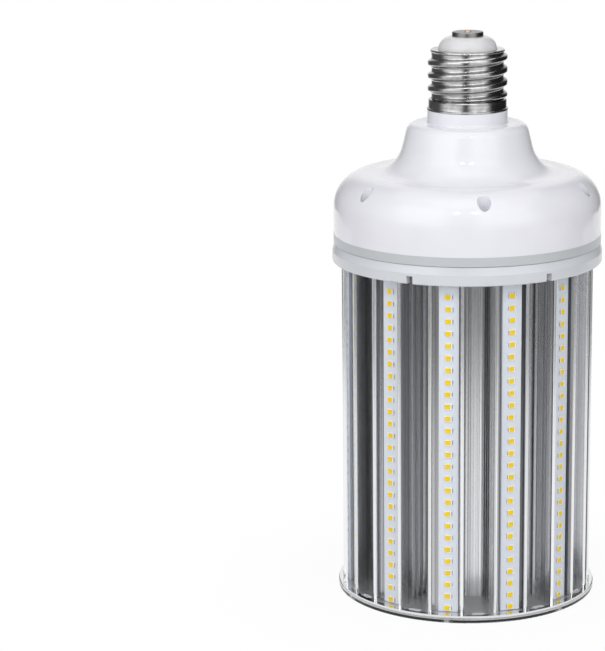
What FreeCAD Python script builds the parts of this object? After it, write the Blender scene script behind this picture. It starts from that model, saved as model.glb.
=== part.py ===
import FreeCAD, Part
import math
import os
import Sketcher
from FreeCAD import Placement, Rotation, Vector

# A corn lamp for a mogul screw holder. It stands on its flat clear end cover,
# cap up. Origin: the middle of the cover's underside, on the lamp's axis.
# +Z runs up to the centre contact and +X to the viewer's right; the viewer
# stands at -Y. Lengths are millimetres.

doc = FreeCAD.newDocument("corn_led_bulb")
sheet = doc.addObject("Spreadsheet::Sheet", "sizes")

SIZES = {
    # the widest radius, at the top plate's lip; the other wide radii follow it
    "lampRadius": 67.2,
    # end of the lamp that it stands on
    "coverLedge": 2.2,
    "coverFace": 1.2,
    "coverRimWall": 2.0,
    "coverEdgeRound": 0.5,
    "coverBoss": 4.2,
    "bossClear": 0.6,
    "endBoardInset": 3.5,
    "endBoardThick": 0.7,
    "endPlateLedge": 1.9,
    "endPlateThick": 1.0,
    "endPlateTop": 3.7,
    "endPlateWireHole": 3.2,
    "slotInset": 1.7,
    "slotLong": 7.2,
    "slotWide": 3.0,
    "outerLedInset": 16.6,
    "innerLedInset": 23.5,
    "ledsPerRing": 32,
    # finned aluminium body
    "sinkLength": 170.0,
    "sinkDeep": 30.4,
    "strips": 12,
    "stripTurn": 20.8,
    "coreWall": 3.0,
    "webHalf": 4.388,
    "landHalf": 8.95,
    "wallGrooves": 3,
    "wallGrooveInset": 1.9,
    "wallGroovePitch": 4.8,
    "wallGrooveWide": 3.4,
    "wallGrooveDeep": 1.8,
    "floorRibs": 7,
    "floorRibHeight": 0.7,
    "chamberWall": 3.0,
    "chamberInset": 11.9,
    "chamberInnerHalf": 2.0,
    "chamberOuterHalf": 4.2,
    "seatHalf": 7.0,
    "seatDeep": 5.5,
    "railRound": 1.0,
    "railSteps": 4,
    # light strips
    "stripBoardWide": 9.8,
    "stripBoardThick": 1.6,
    "stripBoardLong": 167.0,
    "stripFoot": 0.2,
    "stripShift": 0.8,
    "ledsPerStrip": 27,
    "ledPitch": 6.04,
    "ledFirst": 1.9,
    "ledLong": 3.5,
    "ledWide": 2.8,
    "ledTall": 0.75,
    # top plate over the body
    "topRimDrop": 4.0,
    "topRimWall": 3.9,
    "topRimFit": 0.4,
    "topRimBand": 5.3,
    "topPlateThick": 5.2,
    "topRimStep": 1.0,
    "topRimRound": 0.9,
    "notches": 6,
    "notchWide": 3.2,
    "notchHigh": 4.0,
    "wireHole": 14.0,
    # base and cover of the driver housing
    "seamGap": 0.3,
    "seamDeep": 1.0,
    "recessNearInset": 18.9,
    "recessFarInset": 4.9,
    "recessRibHalf": 0.8,
    "recessHalf": 4.2,
    "recessDeep": 2.4,
    "baseStep": 0.6,
    "baseThick": 4.8,
    "baseFloor": 2.5,
    "baseWall": 11.6,
    "posts": 4,
    "postRadius": 2.6,
    "postShare": 0.7917,
    "postHeight": 4.0,
    "housingStep": 0.7,
    "housingWall": 2.3,
    "ridgeHeight": 30.4,
    "shoulderShare": 0.3648,
    "neckFootShare": 0.3305,
    "neckTopShare": 0.2039,
    "neckHeight": 24.5,
    "collarFootRound": 1.0,
    "neckRoundShare": 0.3433,
    "neckTopRound": 5.0,
    "collarRadius": 19.9,
    "collarHeight": 6.4,
    "spigotRadius": 16.6,
    "spigotHeight": 19.0,
    "spigotBore": 14.2,
    "wellTurn": 37.4,
    "wellInset": 6.25,
    "wellRadius": 3.35,
    "wellFloor": 8.0,
    "wellWall": 2.0,
    # screw cap
    "shellRim": 19.3,
    "shellLip": 20.0,
    "shellRimHeight": 5.4,
    "threadTurns": 3,
    "threadStart": 1.05,
    "threadPitch": 6.35,
    "threadRootLand": 1.15,
    "threadRise": 1.9,
    "threadCrestLand": 1.4,
    "threadCrest": 19.65,
    "threadRoot": 17.8,
    "shellThick": 0.5,
    "shellTopRadius": 18.4,
    "shellMouth": 14.6,
    "shellTopHeight": 29.8,
    "insulatorFit": 0.1,
    "insulatorPlug": 8.2,
    "insulatorRise": 6.3,
    "insulatorRound": 6.4,
    "contactRadius": 7.7,
    "contactThick": 2.2,
    "contactRound": 0.5,
    "solderRadius": 1.9,
    "solderHeight": 0.7,
    # screws
    "screwShank": 2.9,
    "screwHead": 5.6,
    "screwHeadTall": 1.7,
    "screwFit": 0.1,
    "coverScrews": 6,
    "coverScrewInset": 7.7,
    "coverScrewLong": 10.0,
    "boardScrewPairs": 3,
    "boardScrewInset": 2.8,
    "boardScrewShank": 2.4,
    "boardScrewHead": 4.4,
    "boardScrewHeadTall": 0.6,
    "boardScrewLong": 8.0,
    "plateScrews": 6,
    "plateScrewInset": 8.9,
    "plateScrewLong": 13.0,
    "housingScrews": 6,
    "housingScrewLong": 17.0,
    # driver, with each part's place on the board from the lamp's axis; places and
    # footprints are given for a board of the drawn radius and follow the real one
    "drawnBoard": 48.0,
    "driverBoardInset": 12.95,
    "driverBoardThick": 1.6,
    "driverScrewLong": 5.0,
    "bigCanRadius": 8.0,
    "bigCanTall": 20.0,
    "bigCanOut": 27.0,
    "bigCanFirst": 10.0,
    "bigCanGap": 3.0,
    "smallCanRadius": 5.0,
    "smallCanTall": 16.0,
    "smallCanOut": 24.0,
    "smallCanFirst": 24.0,
    "smallCanGap": 2.0,
    "coreOut": 20.0,
    "coreLong": 27.0,
    "coreWide": 14.0,
    "coreTall": 19.0,
    "coreLeg": 8.0,
    "coreSide": 4.5,
    "coreYoke": 3.5,
    "coilReach": 4.7,
    "coilRound": 2.8,
    "coilFit": 0.2,
    "chokeRing": 8.0,
    "chokeWire": 3.4,
    "chokeRight": 28.0,
    "chokeOut": 14.0,
    "filmOut": 30.0,
    "filmLong": 18.0,
    "filmWide": 7.0,
    "filmTall": 12.0,
    "bridgeLeft": 8.0,
    "bridgeOut": 20.0,
    "bridgeLong": 15.0,
    "bridgeWide": 4.0,
    "bridgeTall": 11.0,
    "leadRadius": 1.0,
    "leadFit": 0.2,
    "leadBend": 4.0,
    "shellLeadReach": 6.0,
    "cableRadius": 1.5,
    "cableReach": 8.0,
}
# Sizes that follow from the ones above by one named clearance or share each
FOLLOWERS = {
    "topRimInner": "lampRadius - topRimWall",
    "topPlateUpper": "lampRadius - topRimStep",
    "baseRadius": "lampRadius - baseStep",
    "baseRecess": "baseRadius - baseWall",
    "housingRadius": "lampRadius - housingStep",
    "sinkRadius": "topRimInner - topRimFit",
    "sinkBore": "sinkRadius - sinkDeep",
    "channelFloor": "sinkBore + coreWall",
    "channelFloorHalf": "channelFloor * sin((180 / strips) * 1 deg) - webHalf",
    "channelMouthHalf": "sinkRadius * sin((180 / strips) * 1 deg) - landHalf",
    "wallGrooveFirst": "channelFloor + wallGrooveInset",
    "chamberInner": "channelFloor + chamberWall",
    "chamberOuter": "sinkRadius - chamberInset",
    "seatFloor": "sinkRadius - seatDeep",
    "coverRadius": "sinkRadius + coverLedge",
    "endPlateRadius": "sinkRadius + endPlateLedge",
    "endBoardRadius": "sinkRadius - endBoardInset",
    "slotOffset": "sinkRadius - slotInset",
    "outerLedRing": "sinkRadius - outerLedInset",
    "innerLedRing": "sinkRadius - innerLedInset",
    "recessNear": "sinkRadius - recessNearInset",
    "recessFar": "sinkRadius - recessFarInset",
    "coverScrewCircle": "sinkRadius - coverScrewInset",
    "boardScrewCircle": "sinkBore + boardScrewInset",
    "plateScrewCircle": "sinkRadius - plateScrewInset",
    "wellCircle": "lampRadius - wellInset",
    "dome": "housingRadius - collarRadius",
    "shoulderRound": "dome * shoulderShare",
    "neckFoot": "collarRadius + dome * neckFootShare",
    "neckTop": "collarRadius + dome * neckTopShare",
    "neckFootRound": "dome * neckRoundShare",
    "driverBoardRadius": "wellCircle - driverBoardInset",
    "boardScale": "driverBoardRadius / drawnBoard",
    "postCircle": "driverBoardRadius * postShare",
}
CELLS = list(SIZES.items()) + [(alias, "=" + rule) for alias, rule in FOLLOWERS.items()]
for number, (alias, size) in enumerate(CELLS, start=1):
    sheet.set(f"A{number}", alias)
    sheet.set(f"B{number}", str(size))
    sheet.setAlias(f"B{number}", alias)
doc.recompute()

parts = []


def at(text):
    # the value of an expression in the sheet's sizes
    return float(sheet.evalExpression(text))


def whole(text):
    return int(round(at(text)))


def laid(alias):
    # a place or footprint on the driver's board
    return at(f"sizes.{alias} * sizes.boardScale")


def keep(piece):
    parts.append(piece)
    return piece


def new_body(label):
    body = doc.addObject("PartDesign::Body", label)
    body.Label = label
    return body


def plane(body, role):
    return next(item for item in body.Origin.OriginFeatures if item.Role == role)


def outline(body, name, role, points, lift="0"):
    # a closed outline of straight edges; each corner is tied to the sheet
    sketch = body.newObject("Sketcher::SketchObject", name)
    sketch.AttachmentSupport = [(plane(body, role), "")]
    sketch.MapMode = "FlatFace"
    sketch.AttachmentOffset = Placement(Vector(0, 0, at(lift)), Rotation())
    sketch.setExpression("AttachmentOffset.Base.z", lift)
    corners = [Vector(at(across), at(up), 0) for across, up in points]
    for start, end in zip(corners, corners[1:] + corners[:1]):
        sketch.addGeometry(Part.LineSegment(start, end), False)
    last = len(corners)
    for index in range(last):
        follower = (index + 1) % last
        sketch.addConstraint(Sketcher.Constraint("Coincident", index, 2, follower, 1))
    for index, (across, up) in enumerate(points):
        for kind, text, value, axis in (
            ("DistanceX", across, corners[index].x, -2),
            ("DistanceY", up, corners[index].y, -1),
        ):
            if abs(value) < 1e-9:
                sketch.addConstraint(Sketcher.Constraint("PointOnObject", index, 1, axis))
                continue
            row = sketch.addConstraint(Sketcher.Constraint(kind, -1, 1, index, 1, value))
            sketch.setExpression(f"Constraints[{row}]", text)
    return sketch


def spun(body, name, points):
    # an outline in the XZ plane turned about the lamp's axis
    sketch = outline(body, name + "_outline", "XZ_Plane", points)
    turn = body.newObject("PartDesign::Revolution", name)
    turn.Profile = sketch
    turn.ReferenceAxis = (sketch, ["V_Axis"])
    turn.Angle = 360
    body.Tip = turn
    doc.recompute()
    return turn


def rings(feature, radius, height, slack=0.05):
    # names of the circular edges of one radius at one height
    found = []
    for index, edge in enumerate(feature.Shape.Edges, start=1):
        curve = edge.Curve
        if not isinstance(curve, Part.Circle):
            continue
        if abs(curve.Radius - radius) > slack:
            continue
        if abs(curve.Center.z - height) < slack and abs(curve.Axis.z) > 0.99:
            found.append(f"Edge{index}")
    return found


def rounded(body, name, feature, radius_at, height_at, round_size):
    fillet = body.newObject("PartDesign::Fillet", name)
    fillet.Base = (feature, rings(feature, at(radius_at), at(height_at)))
    fillet.Radius = at(round_size)
    fillet.setExpression("Radius", round_size)
    body.Tip = fillet
    doc.recompute()
    return fillet


def cut_through(body, name, sketch, deep):
    # a pocket that cuts upwards from its sketch
    before = body.Tip.Shape.Volume
    pocket = body.newObject("PartDesign::Pocket", name)
    pocket.Profile = sketch
    pocket.Length = at(deep)
    pocket.setExpression("Length", deep)
    pocket.Reversed = True
    body.Tip = pocket
    doc.recompute()
    if pocket.Shape.Volume > before - 1e-3:
        raise RuntimeError(f"{name} cuts nothing")
    return pocket


def ring_of(body, name, feature, copies):
    pattern = body.newObject("PartDesign::PolarPattern", name)
    pattern.Originals = [feature]
    axis = next(item for item in body.Origin.OriginFeatures if item.Role == "Z_Axis")
    pattern.Axis = (axis, [""])
    pattern.Angle = 360
    pattern.Occurrences = whole(copies)
    pattern.setExpression("Occurrences", copies)
    body.Tip = pattern
    doc.recompute()
    return pattern


def hole_sketch(body, name, circle, turn, radius, lift):
    # one round hole on a pitch circle
    angle = math.radians(at(turn))
    sketch = body.newObject("Sketcher::SketchObject", name)
    sketch.AttachmentSupport = [(plane(body, "XY_Plane"), "")]
    sketch.MapMode = "FlatFace"
    sketch.AttachmentOffset = Placement(Vector(0, 0, at(lift)), Rotation())
    sketch.setExpression("AttachmentOffset.Base.z", lift)
    centre = Vector(at(circle) * math.cos(angle), at(circle) * math.sin(angle), 0)
    hole = Part.Circle(centre, Vector(0, 0, 1), at(radius))
    index = sketch.addGeometry(hole, False)
    size = sketch.addConstraint(Sketcher.Constraint("Radius", index, at(radius)))
    sketch.setExpression(f"Constraints[{size}]", radius)
    across = sketch.addConstraint(Sketcher.Constraint("DistanceX", -1, 1, index, 3, centre.x))
    sketch.setExpression(f"Constraints[{across}]", f"({circle}) * cos(({turn}) * 1 deg)")
    along = sketch.addConstraint(Sketcher.Constraint("DistanceY", -1, 1, index, 3, centre.y))
    sketch.setExpression(f"Constraints[{along}]", f"({circle}) * sin(({turn}) * 1 deg)")
    return sketch


def cylinder(label, radius, tall, base="0"):
    piece = doc.addObject("Part::Cylinder", label)
    piece.Label = label
    piece.setExpression("Radius", radius)
    piece.setExpression("Height", tall)
    piece.setExpression("Placement.Base.z", base)
    return piece


def box(label, long, wide, tall):
    piece = doc.addObject("Part::Box", label)
    piece.Label = label
    piece.setExpression("Length", long)
    piece.setExpression("Width", wide)
    piece.setExpression("Height", tall)
    return piece


def group(label, solids):
    # equal pieces that share one node as separate solids
    piece = doc.addObject("Part::Feature", label)
    piece.Label = label
    piece.Shape = Part.makeCompound(solids)
    return keep(piece)


def round_axis(shape, turns):
    return [shape.rotated(Vector(), Vector(0, 0, 1), turn) for turn in turns]


# Heights of the stack, from the floor up
SINK_FOOT = "sizes.endPlateTop"
SINK_HEAD = "(sizes.endPlateTop + sizes.sinkLength)"
PLATE_HEAD = f"({SINK_HEAD} + sizes.topPlateThick)"
BASE_HEAD = f"({PLATE_HEAD} + sizes.baseThick)"
RIDGE = f"({BASE_HEAD} + sizes.ridgeHeight)"
NECK_HEAD = f"({RIDGE} + sizes.neckHeight)"
COLLAR_HEAD = f"({NECK_HEAD} + sizes.collarHeight)"
SHELL_HEAD = f"({COLLAR_HEAD} + sizes.shellTopHeight)"
CROWN = f"({SHELL_HEAD} + sizes.insulatorRise)"
CONTACT_HEAD = f"({CROWN} + sizes.contactThick)"
CHANNEL_TURN = "(sizes.stripTurn - 180 / sizes.strips)"
STRIP_STEP = "(360 / sizes.strips)"
SCREW_BORE = "(sizes.screwShank / 2 + sizes.screwFit)"
HEAD_BORE = "(sizes.screwHead / 2 + sizes.screwFit)"
BOARD_SCREW_BORE = "(sizes.boardScrewShank / 2 + sizes.screwFit)"
BOARD_SEAT = f"({PLATE_HEAD} + sizes.baseFloor + sizes.postHeight)"
DRIVER_DECK = f"({BOARD_SEAT} + sizes.driverBoardThick)"
TWIN_TURN = f"(sizes.stripTurn + {STRIP_STEP})"
WELL_FLOOR = f"({BASE_HEAD} + sizes.wellFloor)"
END_SCREW_HOLES = (
    ("cover_screw_way", "sizes.coverScrewCircle", "sizes.stripTurn", SCREW_BORE,
     "sizes.coverScrews"),
    ("board_screw_way", "sizes.boardScrewCircle", "sizes.stripTurn", BOARD_SCREW_BORE,
     "sizes.boardScrewPairs"),
    ("board_twin_way", "sizes.boardScrewCircle", TWIN_TURN, BOARD_SCREW_BORE,
     "sizes.boardScrewPairs"),
)


# Heat sink: one aluminium extrusion, a hollow core with a hollow web and a
# land for each light strip, and a deep ribbed channel between every two lands
def wall_half(reach):
    # half the channel's width at a distance from the axis
    slope = "(sizes.channelMouthHalf - sizes.channelFloorHalf)"
    run = "(sizes.sinkRadius - sizes.channelFloor)"
    return f"(sizes.channelFloorHalf + ({reach} - sizes.channelFloor) * {slope} / {run})"


def rail_edge(face):
    # the rounded edge of a rail, from its side face up to its crown and out
    centre = f"({face} + sizes.railRound)"
    crown = f"sqrt(sizes.sinkRadius ^ 2 - {centre} ^ 2)"
    edge = []
    for step in range(whole("sizes.railSteps") + 1):
        swing = f"({step} * 90 / sizes.railSteps) * 1 deg"
        edge.append((f"({crown} - sizes.railRound * (1 - sin({swing})))",
                     f"({centre} - sizes.railRound * cos({swing}))"))
    edge.append(("(sizes.sinkRadius + 1)", centre))
    return edge


def channel_points():
    side = []
    for groove in range(whole("sizes.wallGrooves")):
        near = f"(sizes.wallGrooveFirst + {groove} * sizes.wallGroovePitch)"
        far = f"({near} + sizes.wallGrooveWide)"
        side += [(near, wall_half(near)), (near, f"{wall_half(near)} + sizes.wallGrooveDeep")]
        side += [(far, f"{wall_half(far)} + sizes.wallGrooveDeep"), (far, wall_half(far))]
    side += rail_edge(wall_half("(sizes.sinkRadius - sizes.railRound)"))
    lower = [(reach, f"-({half})") for reach, half in side]
    floor = []
    ribs = whole("sizes.floorRibs")
    for rib in range(ribs + 1):
        place = f"(sizes.channelFloorHalf * (1 - 2 * {rib} / sizes.floorRibs))"
        floor.append(("sizes.channelFloor", place))
        if rib < ribs:
            crest = f"(sizes.channelFloorHalf * (1 - (2 * {rib} + 1) / sizes.floorRibs))"
            floor.append(("sizes.channelFloor + sizes.floorRibHeight", crest))
    return lower + side[::-1] + floor


def turned(points, turn):
    # the same outline turned about the axis, still tied to the sheet
    cosine = f"cos(({turn}) * 1 deg)"
    sine = f"sin(({turn}) * 1 deg)"
    return [
        (f"(({x}) * {cosine} - ({y}) * {sine})", f"(({x}) * {sine} + ({y}) * {cosine})")
        for x, y in points
    ]


def holes_round(body, name, circle, turn, radius, lift, deep, copies):
    # equal round holes on a pitch circle, cut upwards from one height
    sketch = hole_sketch(body, name + "_outline", circle, turn, radius, lift)
    return ring_of(body, name + "s", cut_through(body, name, sketch, deep), copies)


def heat_sink():
    body = new_body("heat_sink")
    spun(body, "sink_blank", [
        ("sizes.sinkBore", SINK_FOOT), ("sizes.sinkRadius", SINK_FOOT),
        ("sizes.sinkRadius", SINK_HEAD), ("sizes.sinkBore", SINK_HEAD),
    ])
    for name, deep, (_, circle, turn, radius, copies) in zip(
        ("cover_screw_hole", "board_screw_hole", "board_twin_hole"),
        ("sizes.coverScrewLong", "sizes.boardScrewLong", "sizes.boardScrewLong"),
        END_SCREW_HOLES,
    ):
        holes_round(body, name, circle, turn, radius, SINK_FOOT, deep, copies)
    holes_round(body, "plate_screw_hole", "sizes.plateScrewCircle", "sizes.stripTurn",
                SCREW_BORE, f"({SINK_HEAD} - sizes.plateScrewLong)", "sizes.plateScrewLong",
                "sizes.plateScrews")
    chamber_points = [
        ("sizes.chamberInner", "-sizes.chamberInnerHalf"),
        ("sizes.chamberOuter", "-sizes.chamberOuterHalf"),
        ("sizes.chamberOuter", "sizes.chamberOuterHalf"),
        ("sizes.chamberInner", "sizes.chamberInnerHalf"),
    ]
    seat_side = [("sizes.seatFloor", "sizes.seatHalf")] + rail_edge("sizes.seatHalf")
    seat_points = [(reach, f"-({half})") for reach, half in seat_side] + seat_side[::-1]
    for name, points, turn in (
        ("chamber", chamber_points, "sizes.stripTurn"),
        ("seat", seat_points, "sizes.stripTurn"),
        ("channel", channel_points(), CHANNEL_TURN),
    ):
        sketch = outline(body, name + "_outline", "XY_Plane", turned(points, turn), SINK_FOOT)
        cut = cut_through(body, name + "_cut", sketch, "sizes.sinkLength")
        ring_of(body, name + "s", cut, "sizes.strips")
    return keep(body)


# Light strips: a white board on each land, pushed to one side of its seat, with
# a row of small light packages
def led_box(face, up):
    # one package, standing proud of a board that faces along +X
    long = at("sizes.ledLong")
    wide = at("sizes.ledWide")
    tall = at("sizes.ledTall")
    side = at("sizes.stripShift") - long / 2
    return Part.makeBox(tall, long, wide, Vector(face, side, up - wide / 2))


def light_strips():
    face = at("sizes.seatFloor + sizes.stripBoardThick")
    foot = f"({SINK_FOOT} + sizes.stripFoot)"
    first = at(f"{foot} + sizes.ledFirst")
    pitch = at("sizes.ledPitch")
    leds = [led_box(face, first + row * pitch) for row in range(whole("sizes.ledsPerStrip"))]
    for strip in range(whole("sizes.strips")):
        turn = at("sizes.stripTurn") + strip * at(STRIP_STEP)
        across = Rotation(Vector(0, 0, 1), turn)
        board = box(f"led_board_{strip + 1:02d}", "sizes.stripBoardThick",
                    "sizes.stripBoardWide", "sizes.stripBoardLong")
        angle = f"(sizes.stripTurn + {strip} * {STRIP_STEP}) * 1 deg"
        half = "(sizes.stripBoardWide / 2 - sizes.stripShift)"
        board.Placement = Placement(Vector(), across)
        board.setExpression("Placement.Base.x",
                            f"sizes.seatFloor * cos({angle}) + {half} * sin({angle})")
        board.setExpression("Placement.Base.y",
                            f"sizes.seatFloor * sin({angle}) - {half} * cos({angle})")
        board.setExpression("Placement.Base.z", foot)
        keep(board)
        row = group(f"strip_leds_{strip + 1:02d}", leds)
        row.Placement = Placement(Vector(), across)


# Top plate: a light grey cap over the body, with a lip that hangs outside the
# rails, six notches in the lip and a ribbed recess over every channel
def top_plate():
    body = new_body("top_plate")
    lip_foot = f"({SINK_HEAD} - sizes.topRimDrop)"
    blank = spun(body, "plate_blank", [
        ("sizes.wireHole", SINK_HEAD), ("sizes.topRimInner", SINK_HEAD),
        ("sizes.topRimInner", lip_foot), ("sizes.lampRadius", lip_foot),
        ("sizes.lampRadius", f"({lip_foot} + sizes.topRimBand)"),
        ("sizes.topPlateUpper", PLATE_HEAD), ("sizes.wireHole", PLATE_HEAD),
    ])
    rounded(body, "lip_round", blank, "sizes.lampRadius", lip_foot, "sizes.topRimRound")
    out = "(sizes.lampRadius + 1)"
    inward = "(sizes.topRimInner - 1)"
    half = "(sizes.notchWide / 2)"
    notch = outline(body, "notch_outline", "XY_Plane", turned([
        (inward, f"-{half}"), (out, f"-{half}"), (out, half), (inward, half),
    ], CHANNEL_TURN), lip_foot)
    ring_of(body, "notch_ring", cut_through(body, "notch_cut", notch, "sizes.notchHigh"),
            "sizes.notches")
    for side, name in ((1, "left_recess"), (-1, "right_recess")):
        near = f"({side} * sizes.recessRibHalf)"
        far = f"({side} * sizes.recessHalf)"
        corners = [("sizes.recessNear", near), ("sizes.recessFar", near),
                   ("sizes.recessFar", far), ("sizes.recessNear", far)]
        sketch = outline(body, name + "_outline", "XY_Plane",
                         turned(corners, CHANNEL_TURN), SINK_HEAD)
        ring_of(body, name + "_ring", cut_through(body, name, sketch, "sizes.recessDeep"),
                "sizes.strips")
    holes_round(body, "plate_screw_way", "sizes.plateScrewCircle", "sizes.stripTurn",
                SCREW_BORE, SINK_HEAD, "sizes.topPlateThick", "sizes.plateScrews")
    sunk = f"({PLATE_HEAD} - sizes.screwHeadTall - sizes.screwFit)"
    holes_round(body, "plate_screw_sink", "sizes.plateScrewCircle", "sizes.stripTurn",
                HEAD_BORE, sunk, "sizes.topPlateThick", "sizes.plateScrews")
    deep = "(sizes.housingScrewLong - sizes.wellFloor - sizes.baseThick)"
    holes_round(body, "housing_screw_tap", "sizes.wellCircle", "sizes.wellTurn",
                SCREW_BORE, f"({PLATE_HEAD} - {deep})", deep, "sizes.housingScrews")
    return keep(body)


# Housing base: the light grey tray that closes the driver's housing, with a
# fine dark seam under its rim and four posts for the driver's board
def housing_base():
    body = new_body("housing_base")
    spun(body, "base_blank", [
        ("sizes.wireHole", PLATE_HEAD),
        ("(sizes.topPlateUpper - sizes.seamDeep)", PLATE_HEAD),
        ("(sizes.topPlateUpper - sizes.seamDeep)", f"({PLATE_HEAD} + sizes.seamGap)"),
        ("sizes.baseRadius", f"({PLATE_HEAD} + sizes.seamGap)"),
        ("sizes.baseRadius", BASE_HEAD), ("sizes.baseRecess", BASE_HEAD),
        ("sizes.baseRecess", f"({PLATE_HEAD} + sizes.baseFloor)"),
        ("sizes.wireHole", f"({PLATE_HEAD} + sizes.baseFloor)"),
    ])
    holes_round(body, "housing_screw_way", "sizes.wellCircle", "sizes.wellTurn",
                SCREW_BORE, PLATE_HEAD, "sizes.baseThick", "sizes.housingScrews")
    post = hole_sketch(body, "post_outline", "sizes.postCircle", "0",
                       "sizes.postRadius", f"({PLATE_HEAD} + sizes.baseFloor)")
    pad = body.newObject("PartDesign::Pad", "post")
    pad.Profile = post
    pad.Length = at("sizes.postHeight")
    pad.setExpression("Length", "sizes.postHeight")
    body.Tip = pad
    doc.recompute()
    ring_of(body, "post_ring", pad, "sizes.posts")
    holes_round(body, "post_hole", "sizes.postCircle", "0", BOARD_SCREW_BORE,
                f"({BOARD_SEAT} - sizes.postHeight)", "sizes.postHeight", "sizes.posts")
    return keep(body)


# Driver housing: one white moulding, a wide dome with six screw wells in its
# shoulder, a waist, a collar under the cap and a hollow spigot inside the cap
def driver_housing():
    outer = new_body("housing_outer")
    spigot_head = f"({COLLAR_HEAD} + sizes.spigotHeight)"
    spun(outer, "housing_blank", [
        ("0", BASE_HEAD), ("sizes.housingRadius", BASE_HEAD), ("sizes.housingRadius", RIDGE),
        ("sizes.neckFoot", RIDGE), ("sizes.neckTop", NECK_HEAD),
        ("sizes.collarRadius", NECK_HEAD), ("sizes.collarRadius", COLLAR_HEAD),
        ("sizes.spigotRadius", COLLAR_HEAD), ("sizes.spigotRadius", spigot_head),
        ("0", spigot_head),
    ])
    for name, radius, height, size in (
        ("shoulder", "sizes.housingRadius", RIDGE, "sizes.shoulderRound"),
        ("neck_foot", "sizes.neckFoot", RIDGE, "sizes.neckFootRound"),
        ("neck_top", "sizes.neckTop", NECK_HEAD, "sizes.neckTopRound"),
        ("collar_foot", "sizes.collarRadius", NECK_HEAD, "sizes.collarFootRound"),
    ):
        rounded(outer, name + "_round", outer.Tip, radius, height, size)
    holes_round(outer, "screw_well", "sizes.wellCircle", "sizes.wellTurn",
                "sizes.wellRadius", WELL_FLOOR, "sizes.ridgeHeight", "sizes.housingScrews")
    holes_round(outer, "well_hole", "sizes.wellCircle", "sizes.wellTurn",
                SCREW_BORE, BASE_HEAD, "sizes.wellFloor + 1", "sizes.housingScrews")
    cavity = new_body("housing_cavity")
    wall = "sizes.housingWall"
    under = f"({BASE_HEAD} - 1)"
    inner_radius = f"(sizes.housingRadius - {wall})"
    inner_ridge = f"({RIDGE} - {wall})"
    spun(cavity, "cavity_blank", [
        ("0", under), (inner_radius, under), (inner_radius, inner_ridge),
        (f"(sizes.neckFoot - {wall})", inner_ridge),
        (f"(sizes.neckTop - {wall})", f"({NECK_HEAD} - {wall})"),
        ("sizes.spigotBore", f"({NECK_HEAD} - {wall})"),
        ("sizes.spigotBore", f"({spigot_head} + 1)"), ("0", f"({spigot_head} + 1)"),
    ])
    for name, radius, height, size in (
        ("inner_shoulder", inner_radius, inner_ridge, f"(sizes.shoulderRound - {wall})"),
        ("inner_neck_foot", f"(sizes.neckFoot - {wall})", inner_ridge,
         f"(sizes.neckFootRound + {wall})"),
        ("inner_neck_top", f"(sizes.neckTop - {wall})", f"({NECK_HEAD} - {wall})",
         f"(sizes.neckTopRound - {wall})"),
    ):
        rounded(cavity, name, cavity.Tip, radius, height, size)
    holes_round(cavity, "well_boss", "sizes.wellCircle", "sizes.wellTurn",
                "(sizes.wellRadius + sizes.wellWall)", under, "sizes.ridgeHeight",
                "sizes.housingScrews")
    housing = doc.addObject("Part::Cut", "driver_housing")
    housing.Label = "driver_housing"
    housing.Base = outer
    housing.Tool = cavity
    return keep(housing)


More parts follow.
